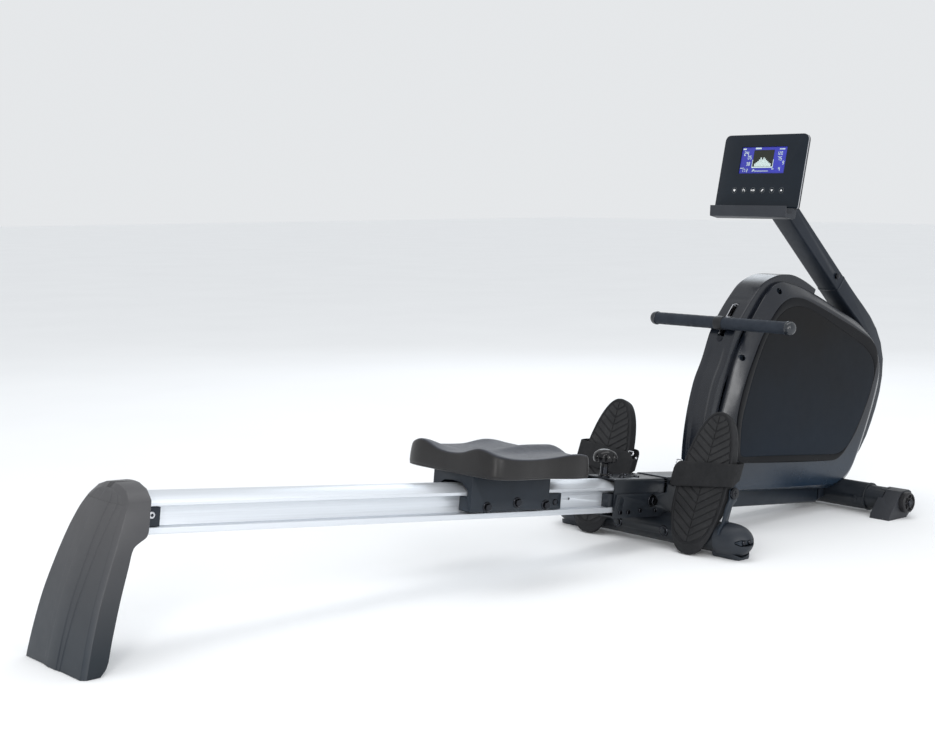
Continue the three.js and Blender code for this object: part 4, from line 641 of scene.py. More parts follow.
def leg_ring(levels, i, wall=0.0):
    """Back with two low steps up to its middle field, chamfered edges, and a front with small corners."""
    chamfer, step = 8.6, 1.5
    z, rear, front, half = levels[i]
    below, above = levels[max(i - 1, 0)], levels[min(i + 1, len(levels) - 1)]
    rise, narrowing = above[0] - below[0], below[3] - above[3]
    slope = math.hypot(rise, narrowing)
    face_half = max(half - chamfer * rise / slope, 3)
    face_z = z if i == 0 else z - chamfer * narrowing / slope
    lean = min(max((z - 216) / 60, 0), 1)
    front_z = z - 0.4 * lean * (front - rear) * math.tan(RAIL_INCLINE)
    ridge, foot = min(17 + z / 100, face_half * 0.3), min(27 + z / 14, face_half * 0.72)
    back = rear - chamfer + wall
    step *= eased((300 - z) / 14)
    corners = [
        (back - 2 * step, -ridge, face_z), (back - step, -ridge - 1.7, face_z), (back - step, -foot, face_z),
        (back, -foot - 1.7, face_z), (back, -face_half + wall, face_z),
        (rear + wall, -half + wall, z), (front - 2 - wall, -half + wall, front_z),
        (front - wall, -half + 2 + wall, front_z),
    ]
    corners += [(x, -y, height) for x, y, height in reversed(corners)]
    radii = [0.5, 0.5, 0.5, 0.5, 1.3, 1.3, 1.4, 1.4]
    return filleted(corners, radii + radii[::-1], 3)


def rear_leg():
    levels = [tuple(v) for v in flowing(LEG_KNOTS, 4)] + LEG_HEAD
    outer = [leg_ring(levels, i) for i in range(len(levels))]
    low = [i for i, level in enumerate(levels) if level[0] < 190]
    inner = [leg_ring(levels, i, 4.5) for i in reversed(low)]
    shell = loft(inner + outer)
    leg = piece("rear_leg_shell", shell, LEG_PLASTIC_PAINTED_SHADE, body="rail_body", replaces=("rear_leg",), smooth=13)
    carved(leg, (block(-1368.3, -1200, -45.4, 45.4, -25.4, 47.4), RAIL))
    pads = [
        prism(filleted([(-1531, s * 78), (-1504, s * 78), (-1504, s * 102), (-1531, s * 102)], 4), "Z", 0, 6)
        for _, s in SIDES
    ]
    piece("rear_leg_feet", merged(*pads), RUBBER, body="rail_body", bevel=0.8)


rear_leg()


# ---------- seat ----------
SEAT_OUTLINE = [
    (-591, 0), (-592, 60), (-589, 110), (-577, 138), (-545, 148), (-505, 149), (-465, 144), (-430, 141),
    (-395, 146), (-352, 151), (-314, 143), (-291, 114), (-284, 75), (-276, 45), (-262, 22), (-254, 0),
]
SEAT_CENTRE = (-437, 0)
SEAT_BASE = 69.3


def seat_top(x, y):
    """Two rear lobes, a hollow in the middle, side horns and a ridge to the nose."""
    reach = abs(y)
    return (
        112 + 17.5 * bell((x + 583) / 46) * bell((reach - 92) / 44)
        + 10 * bell((x + 352) / 58) * min(reach / 138, 1) ** 4
        + 14 / (1 + math.exp(-(x + 428) / 18)) * bell(y / 30)
        - 4 * bell((x + 480) / 70) * bell(reach / 90) - 22 * max((x + 300) / 50, 0) ** 2
    )


def seat_pad():
    whole = SEAT_OUTLINE + [(x, -y) for x, y in reversed(SEAT_OUTLINE[1:-1])]
    outline = flowing(whole, 5, closed=True)
    cx, cy = SEAT_CENTRE

    def ring(scale, share=None):
        points = []
        for p in outline:
            x, y = cx + (p.x - cx) * scale, cy + (p.y - cy) * scale
            top = seat_top(x, y)
            points.append((x, y, top if share is None else SEAT_BASE + (top - SEAT_BASE) * share))
        return points

    # the share of the outline's width and of the pad's height, up the side
    side = [
        (0.94, 0), (0.972, 0.004), (0.99, 0.02), (0.997, 0.05), (0.998, 0.085), (0.9935, 0.095),
        (0.9935, 0.11), (0.9985, 0.12), (1.0, 0.16), (0.999, 0.3), (0.997, 0.45), (0.994, 0.6),
        (0.99, 0.72), (0.986, 0.83), (0.981, 0.905), (0.975, 0.95), (0.966, 0.982), (0.95, 1.0),
    ]
    top = [0.92 - 0.0357 * i for i in range(25)] + [0.03]
    rings = [ring(scale, share) for scale, share in side] + [ring(scale) for scale in top]
    pad = piece(
        "seat_cushion", loft(rings), SEAT, RAIL, "seat", replaces=("seat_pad",), smooth=60, under=1,
    )
    plate = loft([
        [(cx + (p.x - cx) * s, cy + (p.y - cy) * s, z) for p in outline]
        for s, z in ((0.70, 69.05), (0.9, 69.05), (0.925, 69.8), (0.925, 71.5), (0.7, 72.5))
    ])
    piece("seat_base_plate", plate, BLACK_PLASTIC, RAIL, "seat")


seat_pad()
refined("seat_carriage", CARRIAGE, bevel=1.0, segments=3)
for side, sign in SIDES:
    bolts = []
    for at in ((-526, 2.3), (-440, 9.7), (-355, 2.3)):
        bolts.append(spun([(11.5, 62.1), (11.5, 63.3), (10.6, 63.9), (4, 63.9)], sign, at, 32))
        bolts.append(hexagon("Y", at, 8.6, sign * 63.7, sign * 69.6, turn=0.3))
    piece("carriage_bolts_" + side, merged(*bolts), BOLT, RAIL, "seat")
for node in NODES:
    if node.startswith("roller_"):
        refined(node, NYLON, bevel=0.8, segments=3)


# ---------- fixed bracket ----------
refined("fold_bracket", BLACK_STEEL, bevel=0.9)
refined("rail_rest_pad", RUBBER, bevel=1.5)
refined("fold_pivot_bolt", DARK_STEEL, bevel=0.4, name="pivot_shank")
for side, sign in SIDES:
    washer = spun([(15, 52.5), (15, 54.2), (14, 55), (6, 55)], sign, (0, 0), 40)
    head = hexagon("Y", (0, 0), 11, sign * 54.8, sign * 62.2, turn=0.25)
    piece("pivot_bolt_head_" + side, merged(washer, head), BOLT, RAIL)
    screws = [
        screw_head("Y", at, radius, sign * 52.2, sign * 55.4)
        for at, radius in (
            ((-106, -24), 5.5), ((-79, -24), 5.5), ((-39, -21), 5), ((12, -22), 5),
            ((72, 38), 6), ((158, 38), 6), ((158, -16), 6),
        )
    ]
    piece("bracket_screws_" + side, merged(*screws), BOLT, RAIL)
    bosses = [
        spun([(9.5, 52.1), (9.5, 53.4), (8, 54), (5, 54)], sign, at, 32) for at in ((-106, 2), (-108, -12))
    ]
    piece("bracket_bosses_" + side, merged(*bosses), BLACK_STEEL, RAIL)


# ---------- main stabiliser and its caps ----------
def stabiliser_caps():
    for side, sign in SIDES:
        dome = flowing([
            (35.2, 217), (37.5, 217.2), (37.6, 222), (37.5, 243), (35.8, 261), (31.6, 274.5), (24.5, 286),
            (14.5, 294.6), (5, 299), (0.01, 299.8),
        ], 4)
        inside = [(0.01, 293), (18, 287), (30.5, 264), (35.2, 245)]
        cap = piece(
            "stabiliser_cap_shell_" + side, spun([tuple(p) for p in dome] + inside, sign, BAR, 72, loop=True),
            CAP_PLASTIC, replaces=("stabiliser_cap_" + side,), smooth=40,
        )
        lens = filleted([(-24, 35), (-34, 42.5), (-24, 50), (18, 50), (25, 42.5), (18, 35)], 6)
        carved(cap, (prism(lens, "Y", *sorted((sign * 276, sign * 310))), MACHINE))
        slot = filleted([(-22.5, 36.2), (-31, 42.5), (-22.5, 48.8), (17, 48.8), (23, 42.5), (17, 36.2)], 5)
        insert = prism(slot, "Y", *sorted((sign * 268, sign * 288.5)))
        piece("cap_insert_" + side, insert, DARK_STEEL, bevel=2.5, segments=3)
        badges = [
            spun([(5.4, 288), (5.4, 290.5), (4.2, 291.4), (2, 291.4)], sign, (x, 42.5), 24) for x in (-14, 6)
        ]
        piece("cap_badge_" + side, merged(*badges), BOLT)
        rows = []
        for along, reach in ((205, 0), (209, 0), (262, 0), (270, -1.5), (277, -5)):
            front, back = 27 + reach, -23 - reach
            sole = [(-19 - reach * 0.5, 0), (23 + reach * 0.5, 0), (front, 14 + reach * 0.2), (front, 24)]
            outline = filleted(sole + [(back, 24), (back, 14)], 3.5, 3)
            rows.append([(x, sign * along, z) for x, z in outline])
        foot = piece("cap_foot_" + side, loft(rows), CAP_PLASTIC, bevel=1)
        carved(foot, (spun([(35.3, 190), (35.3, 300)], sign, BAR, 64), MACHINE))


stabiliser_caps()
refined("main_stabiliser", BLACK_STEEL, bevel=0.6)
bar_bolts = [
    turned([(13, -33.5), (13, -36.6), (12, -37.4), (5, -37.4)], "X", (y, 38), 36) for y in (-72, 72)
]
piece("stabiliser_bolts", merged(*bar_bolts), BOLT)

# ---------- pedals ----------
PEDAL_LEAN = 21.9 * DEG
TREAD_FOOT = -65.3  # x where the tread's plane meets the floor
PEDAL_Y = 156.5  # each footrest's middle, from the centre plane
PEDAL_MID = 182  # its middle, up along the tread
PEDAL_LONG, PEDAL_WIDE, PEDAL_TAPER, PEDAL_POWER = 158.4, 71.6, 9.8, 2.27  # its superellipse


def pedal_point(s, y, depth):
    """s up along the tread from the floor, depth behind it."""
    return (
        TREAD_FOOT + s * math.sin(PEDAL_LEAN) + depth * math.cos(PEDAL_LEAN), y,
        s * math.cos(PEDAL_LEAN) - depth * math.sin(PEDAL_LEAN),
    )


def shell_depth(s):
    """Depth of the back shell behind the tread: a heel cup, a waist and a thick upper part."""
    return 7.5 + 12 * bell(max(s - 14, 0) / 20) + 20 * (1 - bell(max(s - 62, 0) / 40))


def pedal_ring(sign, inset, depth_at, heel_drop, count=88):
    """One closed ring round the footrest's outline, drawn in by inset and set back by depth_at."""
    ring = []
    for angle in angles(count):
        c, s = math.cos(angle), math.sin(angle)
        across = math.copysign(abs(c) ** (2 / PEDAL_POWER), c)
        along = math.copysign(abs(s) ** (2 / PEDAL_POWER), s)
        reach = across * (PEDAL_WIDE - PEDAL_TAPER * along - inset)
        up = PEDAL_MID + along * (PEDAL_LONG - inset) - heel_drop * max(-along, 0) ** 3
        depth = depth_at(up) if callable(depth_at) else depth_at
        ring.append(pedal_point(up, sign * PEDAL_Y + reach, depth))
    return ring


def tread_limits(across, inset):
    """Lowest and highest s of the tread at a distance from its centre line, or None outside it."""
    found = []
    for end in (-1, 1):
        along = 0.5 * end
        for _ in range(30):
            width = PEDAL_WIDE - PEDAL_TAPER * along - inset
            share = min(abs(across) / width, 1)
            along = end * (1 - share ** PEDAL_POWER) ** (1 / PEDAL_POWER)
        if abs(along) < 0.05:
            return None
        found.append(PEDAL_MID + along * (PEDAL_LONG - inset))
    return found


def tread_ribs(sign):
    """Herringbone ribs, their points down, with narrow grooves between them."""
    pitch, width, slope, inset, proud, gap = 19, 15.6, 0.62, 8.5, 1.7, 1.1
    shapes = []
    for half in (-1, 1):
        for k in range(-3, 20):
            start = 8 + k * pitch
            rows = []
            steps = 22
            for j in range(steps + 1):
                across = gap + (PEDAL_WIDE - inset + 6 - gap) * j / steps
                limits = tread_limits(across, inset)
                if limits is None:
                    continue
                low = max(start + slope * across, limits[0])
                high = min(start + width + slope * across, limits[1])
                if high - low > 1.6:
                    rows.append((across, low, high))
            if len(rows) < 2:
                continue
            rings = []
            for across, low, high in rows:
                y = sign * PEDAL_Y + half * across
                edge = min(1.3, 0.3 * (high - low))
                rings.append([
                    pedal_point(s, y, depth) for s, depth in (
                        (low, 1.6), (low, 0.9), (low + edge, 1 - proud),
                        (high - edge, 1 - proud), (high, 0.9), (high, 1.6),
                    )
                ])
            shapes.append(loft(rings))
    return merged(*shapes)


def pedals():
    for side, sign in SIDES:
        body = BODY_OF["pedal_" + side]
        # how far drawn in, the depth behind the tread's plane, and the drop of the heel
        tread = [(58, 1, 0), (40, 1, 0), (9, 1, 0)]
        rim = [
            (6.2, 1, 0), (6, 0.4, 0), (5.2, -0.1, 0), (3.2, -0.2, 0), (1.2, 0.1, 0), (0.2, 1, 0),
            (0, 2.2, 2), (0, 4, 12), (0, 5.5, 18.5), (0.3, lambda s: 0.45 * shell_depth(s) + 3, 18.5),
            (1.2, lambda s: 0.78 * shell_depth(s), 18.5), (4, lambda s: 0.93 * shell_depth(s), 20),
            (9, shell_depth, 22), (12, lambda s: shell_depth(s) + 0.4, 21),
        ]
        inner = [
            (14, lambda s: shell_depth(s) - 0.3, 16), (16, lambda s: max(shell_depth(s) - 4, 6.5), 10),
            (17, 5, 2), (30, 4, 0), (58, 4, 0),
        ]
        rings = [pedal_ring(sign, inset, depth, drop) for inset, depth, drop in tread + rim + inner]
        shell = piece(
            "pedal_shell_" + side, loft(rings), RUBBER, body=body,
            replaces=("pedal_" + side,), smooth=38,
        )
        carved(shell, *(
            (turned([(radius, -270), (radius, 270)], "Y", at, steps), MACHINE)
            for radius, at, steps in ((40, BAR, 64), (6.6, AXLE, 32))
        ))
        piece("pedal_tread_" + side, tread_ribs(sign), TREAD, body=body, smooth=30)
        middle = sign * PEDAL_Y
        half_boss = [(6.5, -61), (11.5, -61), (12, -60)]
        boss = [(radius, middle + y) for radius, y in half_boss + [(r, -y) for r, y in reversed(half_boss)]]
        piece("pedal_boss_" + side, turned(boss, "Y", AXLE, 40, loop=True), RUBBER, body=body)


pedals()


# ---------- instep straps ----------
def tread_x(z):
    return TREAD_FOOT + z * math.tan(PEDAL_LEAN)


def strap_level(out, share):
    """Height of the band at a distance from the centre plane; share runs from low edge to high."""
    low = 143 + (out - 83) * 0.11
    high = 200 + (out - 95) * 0.066
    round_off = max((84 - out) / 20, 0)
    high -= 17 * round_off ** 2
    low += 5 * round_off ** 2
    return low + (high - low) * share


def wire_loop(path, radius, steps=12):
    """Round wire bent to a closed path."""
    points = [Vector(p) for p in path]
    rings = []
    side = None
    for i, p in enumerate(points):
        along = (points[(i + 1) % len(points)] - points[i - 1]).normalized()
        if side is None:
            side = along.orthogonal().normalized()
        side = (side - along * side.dot(along)).normalized()
        other = along.cross(side)
        rings.append([
            tuple(p + (side * math.cos(angle) + other * math.sin(angle)) * radius) for angle in angles(steps)
        ])
    return loft(rings, loop=True)


def instep_straps():
    for side, sign in SIDES:
        body = BODY_OF["pedal_strap_" + side]
        rows = 12

        def strap_ring(share, grow):
            ring = []
            for angle in angles(96):
                c, q = math.cos(angle), math.sin(angle)
                reach = abs(c) ** 0.55 if abs(c) > 1e-9 else 0
                sideways = (247 - PEDAL_Y - 2 + grow) if c > 0 else (64 - PEDAL_Y + 2 - grow)
                out = PEDAL_Y + sideways * reach
                behind = q ** 0.6 if q > 0 else 0
                narrow = eased(behind / 0.35)
                level = strap_level(out, 0.2 * narrow + (1 - 0.2 * narrow) * share)
                front = tread_x(level)
                if q > 0:
                    x = front + behind * (36 + grow)
                else:
                    x = front - abs(q) ** 0.8 * (6 + grow)
                ring.append((x, sign * out, level))
            return ring

        shares = [0, 0.012, 0.04] + [0.04 + 0.92 * j / rows for j in range(1, rows)] + [0.96, 0.988, 1]
        grows = [0.7, 1.6] + [2.0] * (len(shares) - 4) + [1.6, 0.7]
        outer = [strap_ring(share, grow) for share, grow in zip(shares, grows)]
        inner = [strap_ring(share, 0.2) for share in shares]
        band = loft(outer + inner[::-1], loop=True)
        piece(
            "instep_strap_" + side, band, WEBBING, body=body,
            replaces=("pedal_strap_" + side,), smooth=45,
        )
        # wire buckle at the upper inner corner, and two rivets
        z = strap_level(74, 1) + 1
        x = tread_x(z) - 2
        loop = filleted([
            Vector((x + a * math.sin(PEDAL_LEAN), sign * y, z + a * math.cos(PEDAL_LEAN)))
            for y, a in ((68, -4), (84, -3), (84, 6), (68, 5))
        ], 3)
        piece("strap_buckle_" + side, wire_loop(loop, 1.5), STEEL, body=body)
        rivets = []
        for share in (0.1, 0.86):
            z = strap_level(72, share)
            rivets.append(spun([(2.3, 60.8), (2.8, 61.6), (2.8, 63.4)], sign, (tread_x(z) + 4 + 2, z), 20))
        piece("strap_rivets_" + side, merged(*rivets), STEEL, body=body)


instep_straps()

for side, sign in SIDES:
    refined("pedal_support_" + side, DARK_STEEL, bevel=0.9)
refined("pedal_axle", BOLT, bevel=0.6, smooth=28)
for side, sign in SIDES:
    cap = spun([(10.5, 241.1), (10.5, 242.6), (9.3, 243.2), (3, 243.2)], sign, AXLE, 36)
    piece("axle_cap_" + side, cap, BLACK_PLASTIC, body=BODY_OF["pedal_axle"])
    x, z = AXLE
    ends = sorted((sign * 243.0, sign * 244.2))
    cross = [block(x - a, x + a, *ends, z - b, z + b) for a, b in ((6.5, 1.1), (1.1, 6.5))]
    piece("axle_cross_" + side, merged(*cross), BOLT, body=BODY_OF["pedal_axle"], bevel=0.3)

# ---------- beam, mast and front stabiliser ----------
refined("main_beam", DARK_STEEL, bevel=0.4)
refined("lower_mast", MAST_STEEL, bevel=0.3, smooth=30)
refined("upper_mast", MAST_STEEL, bevel=0.8, smooth=30)
refined("mast_spigot", STEEL, bevel=0.5)
refined("mast_bolt", BOLT, bevel=0.7)
refined("front_stabiliser", BLACK_STEEL, bevel=0.9)
for side, sign in SIDES:
    refined("front_foot_" + side, FOOT_PLASTIC, bevel=3.0, segments=4)
    refined("transport_wheel_" + side, NYLON, bevel=0.8, segments=3)
    spokes = []
    ends = (sign * 262.2, sign * 265.6)
    flat_spoke, faces = block(11, 21, -1.4, 1.4, 0, 1)
    for k in range(6):
        turn = Matrix.Rotation(k * math.pi / 3, 4, "Y")
        verts = []
        for x, y, end in flat_spoke:
            spot = turn @ Vector((x, 0, y))
            verts.append((FRONT_AXIS[0] + spot.x, ends[end], FRONT_AXIS[1] + spot.z))
        spokes.append((verts, faces))
    piece(
        "wheel_spokes_" + side, merged(*spokes), NYLON, body=BODY_OF["transport_wheel_" + side], bevel=0.4,
    )
    cap = [(9.8, 266.8), (9.8, 269.4), (8.6, 270.6), (5.5, 270.8), (5, 269.6), (0.01, 269.4)]
    piece("wheel_cap_" + side, spun(cap, sign, FRONT_AXIS, 36), BOLT)
    ring = [(30.3, 153.2), (34.6, 153.2), (35.4, 152), (35.4, 148), (34.7, 147.2), (34.5, 147.2)]
    piece("sleeve_ring_" + side, spun(ring, sign, FRONT_AXIS, 64), BLACK_STEEL)


# ---------- housing ----------
# outlines in x and z: the rim and the flat face of a shell, the cover band, the side panel and its inset
RIM_OUTLINE = [
    (176, 108), (178, 172), (181, 250), (221, 355), (244, 414), (281, 472), (308, 511), (354, 563),
    (386, 588), (419, 597), (500, 580), (590, 545), (656, 514), (736, 482), (800, 440), (842, 372),
    (846, 318), (822, 255), (770, 150), (715, 72), (655, 50), (426, 74), (182, 98),
]
FACE_OUTLINE = [
    (228, 108), (224, 172), (226, 249), (250, 342), (267, 374), (291, 422), (322, 471), (359, 515),
    (388, 542), (427, 560), (493, 555), (568, 528), (646, 497), (725, 460), (786, 430), (811, 379),
    (815, 343), (790, 270), (746, 177), (700, 95), (640, 66), (426, 82), (236, 100),
]
BAND_OUTLINE = [
    (149, 120), (149, 176), (154, 226), (167, 290), (190.5, 361), (218, 410), (249.5, 478), (279.5, 518.5),
    (321, 562), (359, 592.5), (412, 609.5), (455, 611.5), (484, 607.5), (530, 591), (571, 570.5),
]
PANEL_OUTLINE = [
    (228, 166), (226, 215), (229, 271), (239, 308), (253, 346), (270, 382), (294, 424), (316, 461),
    (339, 491), (361, 515), (384, 536), (411, 551), (439, 557), (479, 553), (536, 533), (621, 499),
    (708, 463), (778, 430), (802, 404), (806, 373), (794, 332), (770, 282), (737, 227), (700, 179),
    (662, 141), (629, 128), (553, 134), (390, 149),
]
INSET_LINE = [
    (242, 180), (242, 224), (247, 274), (265, 320), (286, 372), (304, 409), (333, 460), (370, 506),
    (408, 528), (448, 535), (496, 528), (580, 492), (666, 452), (746, 413), (783, 380), (792, 342),
    (774, 292), (745, 242), (712, 193), (679, 160), (641, 144), (552, 152), (389, 168), (265, 178),
]
HOUSING_CENTRE = (520, 320)
RAYS = 200  # points of one ring of a shell or a panel
SEAM, RISE, WALL = 38.3, 29.7, 3  # a shell begins this far out, rises this far, and is this thick
FACE_SHARE = 1.06  # the flat face begins at this share of the way from RIM_OUTLINE to FACE_OUTLINE
SCREW_SPOTS = ((397, 573), (260.5, 418))


def by_angle(outline, corner=60):
    """The outline with rounded corners, sampled on RAYS rays from the housing's centre."""
    cx, cz = HOUSING_CENTRE
    rounded = [Vector(p) for p in filleted(outline, corner, 5)]
    path = []
    for i, start in enumerate(rounded):
        end = rounded[(i + 1) % len(rounded)]
        pieces = max(1, round((end - start).length / 6))
        path += [start.lerp(end, k / pieces) for k in range(pieces)]
    polar = sorted((math.atan2(p.y - cz, p.x - cx), math.hypot(p.x - cx, p.y - cz)) for p in path)
    polar = [(polar[-1][0] - 2 * math.pi, polar[-1][1])] + polar + [(polar[0][0] + 2 * math.pi, polar[0][1])]
    points = []
    k = 0
    for turn in angles(RAYS, 0.5):
        angle = -math.pi + turn
        while polar[k + 1][0] < angle:
            k += 1
        (a0, r0), (a1, r1) = polar[k], polar[k + 1]
        radius = r0 + (r1 - r0) * (angle - a0) / max(a1 - a0, 1e-9)
        points.append((cx + radius * math.cos(angle), cz + radius * math.sin(angle)))
    return points


def between(ring_a, ring_b, share, shrink=0.0):
    """Points part way from one ring to the other, drawn in towards the centre."""
    cx, cz = HOUSING_CENTRE
    points = []
    for (ax, az), (bx, bz) in zip(ring_a, ring_b):
        x, z = ax + (bx - ax) * share, az + (bz - az) * share
        reach = math.hypot(x - cx, z - cz)
        points.append((x - (x - cx) / reach * shrink, z - (z - cz) / reach * shrink))
    return points


def housing_shells():
    rim, face = by_angle(RIM_OUTLINE), by_angle(FACE_OUTLINE)
    # the share of the way from rim to face, and the share of the rise
    stations = [tuple(p) for p in flowing([
        (0, 0), (0, 0.2), (0.02, 0.3), (0.08, 0.38), (0.5, 0.7), (0.88, 0.95), (0.98, 0.992), (FACE_SHARE, 1),
    ], 3)]
    for side, sign in SIDES:
        def flank(share, y, shrink=0.0):
            return [(x, sign * y, z) for x, z in between(rim, face, share, shrink)]

        outside = [flank(share, SEAM + RISE * out) for share, out in stations]
        outside += [flank(FACE_SHARE, SEAM + RISE, shrink) for shrink in (12, 60, 150)]
        inside = [flank(FACE_SHARE, SEAM + RISE - WALL, shrink) for shrink in (150, 60, 15)]
        inside += [flank(share, SEAM + (RISE - WALL) * out, WALL) for share, out in reversed(stations)]
        shell = piece(
            "housing_half_" + side, loft(inside + outside), SHELL,
            replaces=("housing_shell_" + side,), smooth=40,
        )
        seats = [(spun([(7.5, 40), (7.5, 80)], sign, at, 32), MACHINE) for at in SCREW_SPOTS]
        sleeve = turned([(36.5, -100), (36.5, 100)], "Y", FRONT_AXIS, 64)
        carved(shell, (block(0, 199, -60, 60, -38, 53.3), RAIL), (sleeve, MACHINE), *seats)
        for k, at in enumerate(SCREW_SPOTS):
            cup = spun([(9, 46), (9, 50.3), (7.5, 50.3), (7.5, 47), (4.2, 47)], sign, at, 32)
            head = screw_head("Y", at, 5.6, sign * 46.5, sign * 49.5)
            piece("shell_screw_%s_%d" % (side, k + 1), merged(cup, head), DARK_STEEL)
        panel(side, sign)


def panel(side, sign):
    """Side panel: rounded edge, a flat border, a fine groove and a slightly hollow field."""
    edge, line = by_angle(PANEL_OUTLINE), by_angle(INSET_LINE)
    # the share of the way from edge to inset line, how far drawn in, and how far out
    border = [
        (1, 2, 68.3), (0, 3, 68.3), (0, 0, 68.3), (0, 0, 69.4), (0, 0.35, 70.05), (0, 1.1, 70.4),
        (0, 2.2, 70.5), (1, -1.8, 70.5), (1, -1.3, 70.3), (1, -1.0, 69.5), (1, -0.6, 69.5),
    ]
    field = [
        (1, -0.7, 69.3), (1, -0.3, 70.1), (1, 0.6, 70.35), (1, 2.5, 70.4), (1, 40, 70.25), (1, 110, 70.1),
    ]
    for name, rows, paint, replaced in (
        ("panel_border_", border, BORDER, ("side_panel_" + side,)), ("panel_field_", field, PANEL, ()),
    ):
        rings = [
            [(x, sign * y, z) for x, z in between(edge, line, share, shrink)] for share, shrink, y in rows
        ]
        piece(name + side, loft(rings, loop=rows is border), paint, replaces=replaced, smooth=32)


housing_shells()


def frame_at(path, i):
    """The path's direction at its point i, and the direction into the housing."""
    ahead, back = path[min(i + 1, len(path) - 1)], path[max(i - 1, 0)]
    along = (ahead - back).normalized()
    return along, Vector((along.z, 0, -along.x))


def lip_section(low, high):
    """A thin lip across: its foot 10 mm deep, its rounded head 0.7 mm proud."""
    shoulder = 0.5
    return (
        (low, 10), (low, 0), (low + shoulder, -0.7), (high - shoulder, -0.7), (high, 0), (high, 10),
    )


def centre_band():
    """Channel over the seam: slot for the strap, screw, cross groove, and a long shallow hollow."""
    path = flowing([Vector((x, 0, z)) for x, z in BAND_OUTLINE], 12)
    half, deep = 38, 26
    section = [(-half, deep), (-half, 14), (-half, 5), (-half, 2.4), (-half + 0.7, 0.8), (-half + 2.4, 0)]
    flat = [-half + 2.4 + (2 * half - 4.8) * k / 44 for k in range(1, 44)]
    slot_low, slot_high, slot_half = 470, 546, 9
    section += [(y, 0) for y in flat] + [(-y, d) for y, d in reversed(section)]

    def hollow(p, y):
        """Depth of the long hollow, the cross groove and the ring round the slot's foot."""
        extra = 0.0
        if p.x < 300:
            extra += 2.6 * eased((452 - p.z) / 26) * (1 - eased((abs(y) - 16) / 10))
        if p.x < 360:
            extra += 1.3 * bell((p.z - 554) / 2.2) * (1 - eased((abs(y) - 29) / 3))
        if p.x < 300 and p.z < 468.5:
            extra += 1.2 * bell((math.hypot(y, p.z - 473) - 9.5) / 1.6)
        return extra

    def grid(wall):
        rows = []
        for i, p in enumerate(path):
            _, inward = frame_at(path, i)
            row = []
            for y, depth in section:
                inset = depth + (hollow(p, y) if depth == 0 else 0.0) + (wall if depth < deep else 0)
                across = math.copysign(min(abs(y), half - wall), y) if wall else y
                row.append(p + inward * inset + Vector((0, across, 0)))
            rows.append(row)
        return rows

    outer, inner = grid(0), grid(2.6)

    def kept(i, j):
        z = (path[i].z + path[i + 1].z) / 2
        y = (section[j][0] + section[j + 1][0]) / 2
        return not (path[i].x < 330 and slot_low < z < slot_high and abs(y) < slot_half)

    piece(
        "housing_band", strip_grid(outer, inner, kept), SHELL,
        replaces=("centre_cover",), smooth=40,
    )
    # liner of the slot: a bright lip on the left, the same lip on the right drawn in dark metal as a painted
    # dark reflection, and a bright arch over its head
    liner_path = [p for p in path if p.x < 330 and slot_low + 2 < p.z < slot_high - 2]
    # painted dark reflection: the right lip is the bright liner given dark bolt metal
    for name, y0, y1, paint in (("right", -9.4, -7.2, BOLT), ("left", 7.2, 9.4, STEEL)):
        rings = []
        for i, p in enumerate(liner_path):
            _, inward = frame_at(liner_path, i)
            rings.append([tuple(p + inward * d + Vector((0, y, 0))) for y, d in lip_section(y0, y1)])
        piece("slot_lip_" + name, loft(rings), paint)
    arch = []
    radius = 8.3
    along, inward = frame_at(liner_path[-3:], 1)
    for k in range(13):
        angle = math.pi * k / 12
        c, s = math.cos(angle), math.sin(angle)
        middle = liner_path[-1] + along * (radius * s * 0.35) + Vector((0, radius * c, 0))
        outward = (along * s + Vector((0, c, 0))).normalized()
        arch.append([tuple(middle + outward * u + inward * d) for u, d in lip_section(-1.1, 1.1)])
    piece("slot_arch", loft(arch), STEEL)
    near = [p for p in path if abs(p.z - 458) < 5 and p.x < 300]
    spot = near[len(near) // 2]
    screw = turned([(7.5, -1.2), (7.5, 0.2), (6.6, 0.6), (4, 0.6)], "X", (0, 0), 36)
    piece("band_screw", screw, BOLT, tilted(spot, 26 * DEG))


centre_band()
refined("strap_guide", STEEL, bevel=0.5)
for node, paint in (
    ("flywheel", STEEL), ("strap_drum", BLACK_PLASTIC), ("drive_frame", BLACK_STEEL), ("drive_belt", RUBBER),
):
    refined(node, paint, bevel=0.6)


# ---------- handle and its strap ----------
HANDLE_AXIS = (243, 500)


def handle():
    """Foam grip with a slightly uneven skin, two end caps and the clamp that holds the webbing."""
    soft = [
        (15.05 + 0.12 * math.sin(k * 1.7) + 0.08 * math.sin(k * 0.61), -200 + 400 * k / 60) for k in range(61)
    ]
    grip = [(14.2, -203)] + soft + [(14.2, 203)]
    piece(
        "handle_grip", turned(grip, "Y", HANDLE_AXIS, 56), GRIP, body="handle_body",
        replaces=("handle",), smooth=60,
    )
    for side, sign in SIDES:
        cap = flowing([
            (15.4, 200.5), (16.6, 201.5), (16.9, 204.5), (16.6, 208), (15.4, 212), (12.4, 215.9),
            (7.2, 218.2), (0.01, 218.9),
        ], 4)
        piece(
            "handle_cap_" + side, spun(cap, sign, HANDLE_AXIS, 48), GRIP_CAP, body="handle_body", smooth=60,
        )
    collar = [(15.3, -12), (16.2, -12), (17, -11), (17, 11), (16.2, 12), (15.3, 12)]
    neck = loft([
        [(x, y, HANDLE_AXIS[1] + z) for y, z in filleted([(-w, -h), (w, -h), (w, h), (-w, h)], 2, 3)]
        for x, w, h in ((256, 8.5, 9), (262, 8.4, 6.5), (264, 8.2, 5.2), (269.6, 8, 4.2))
    ])
    clamp = merged(turned(collar, "Y", HANDLE_AXIS), neck)
    piece("handle_clamp", clamp, BLACK_PLASTIC, body="handle_body", bevel=0.5)


handle()


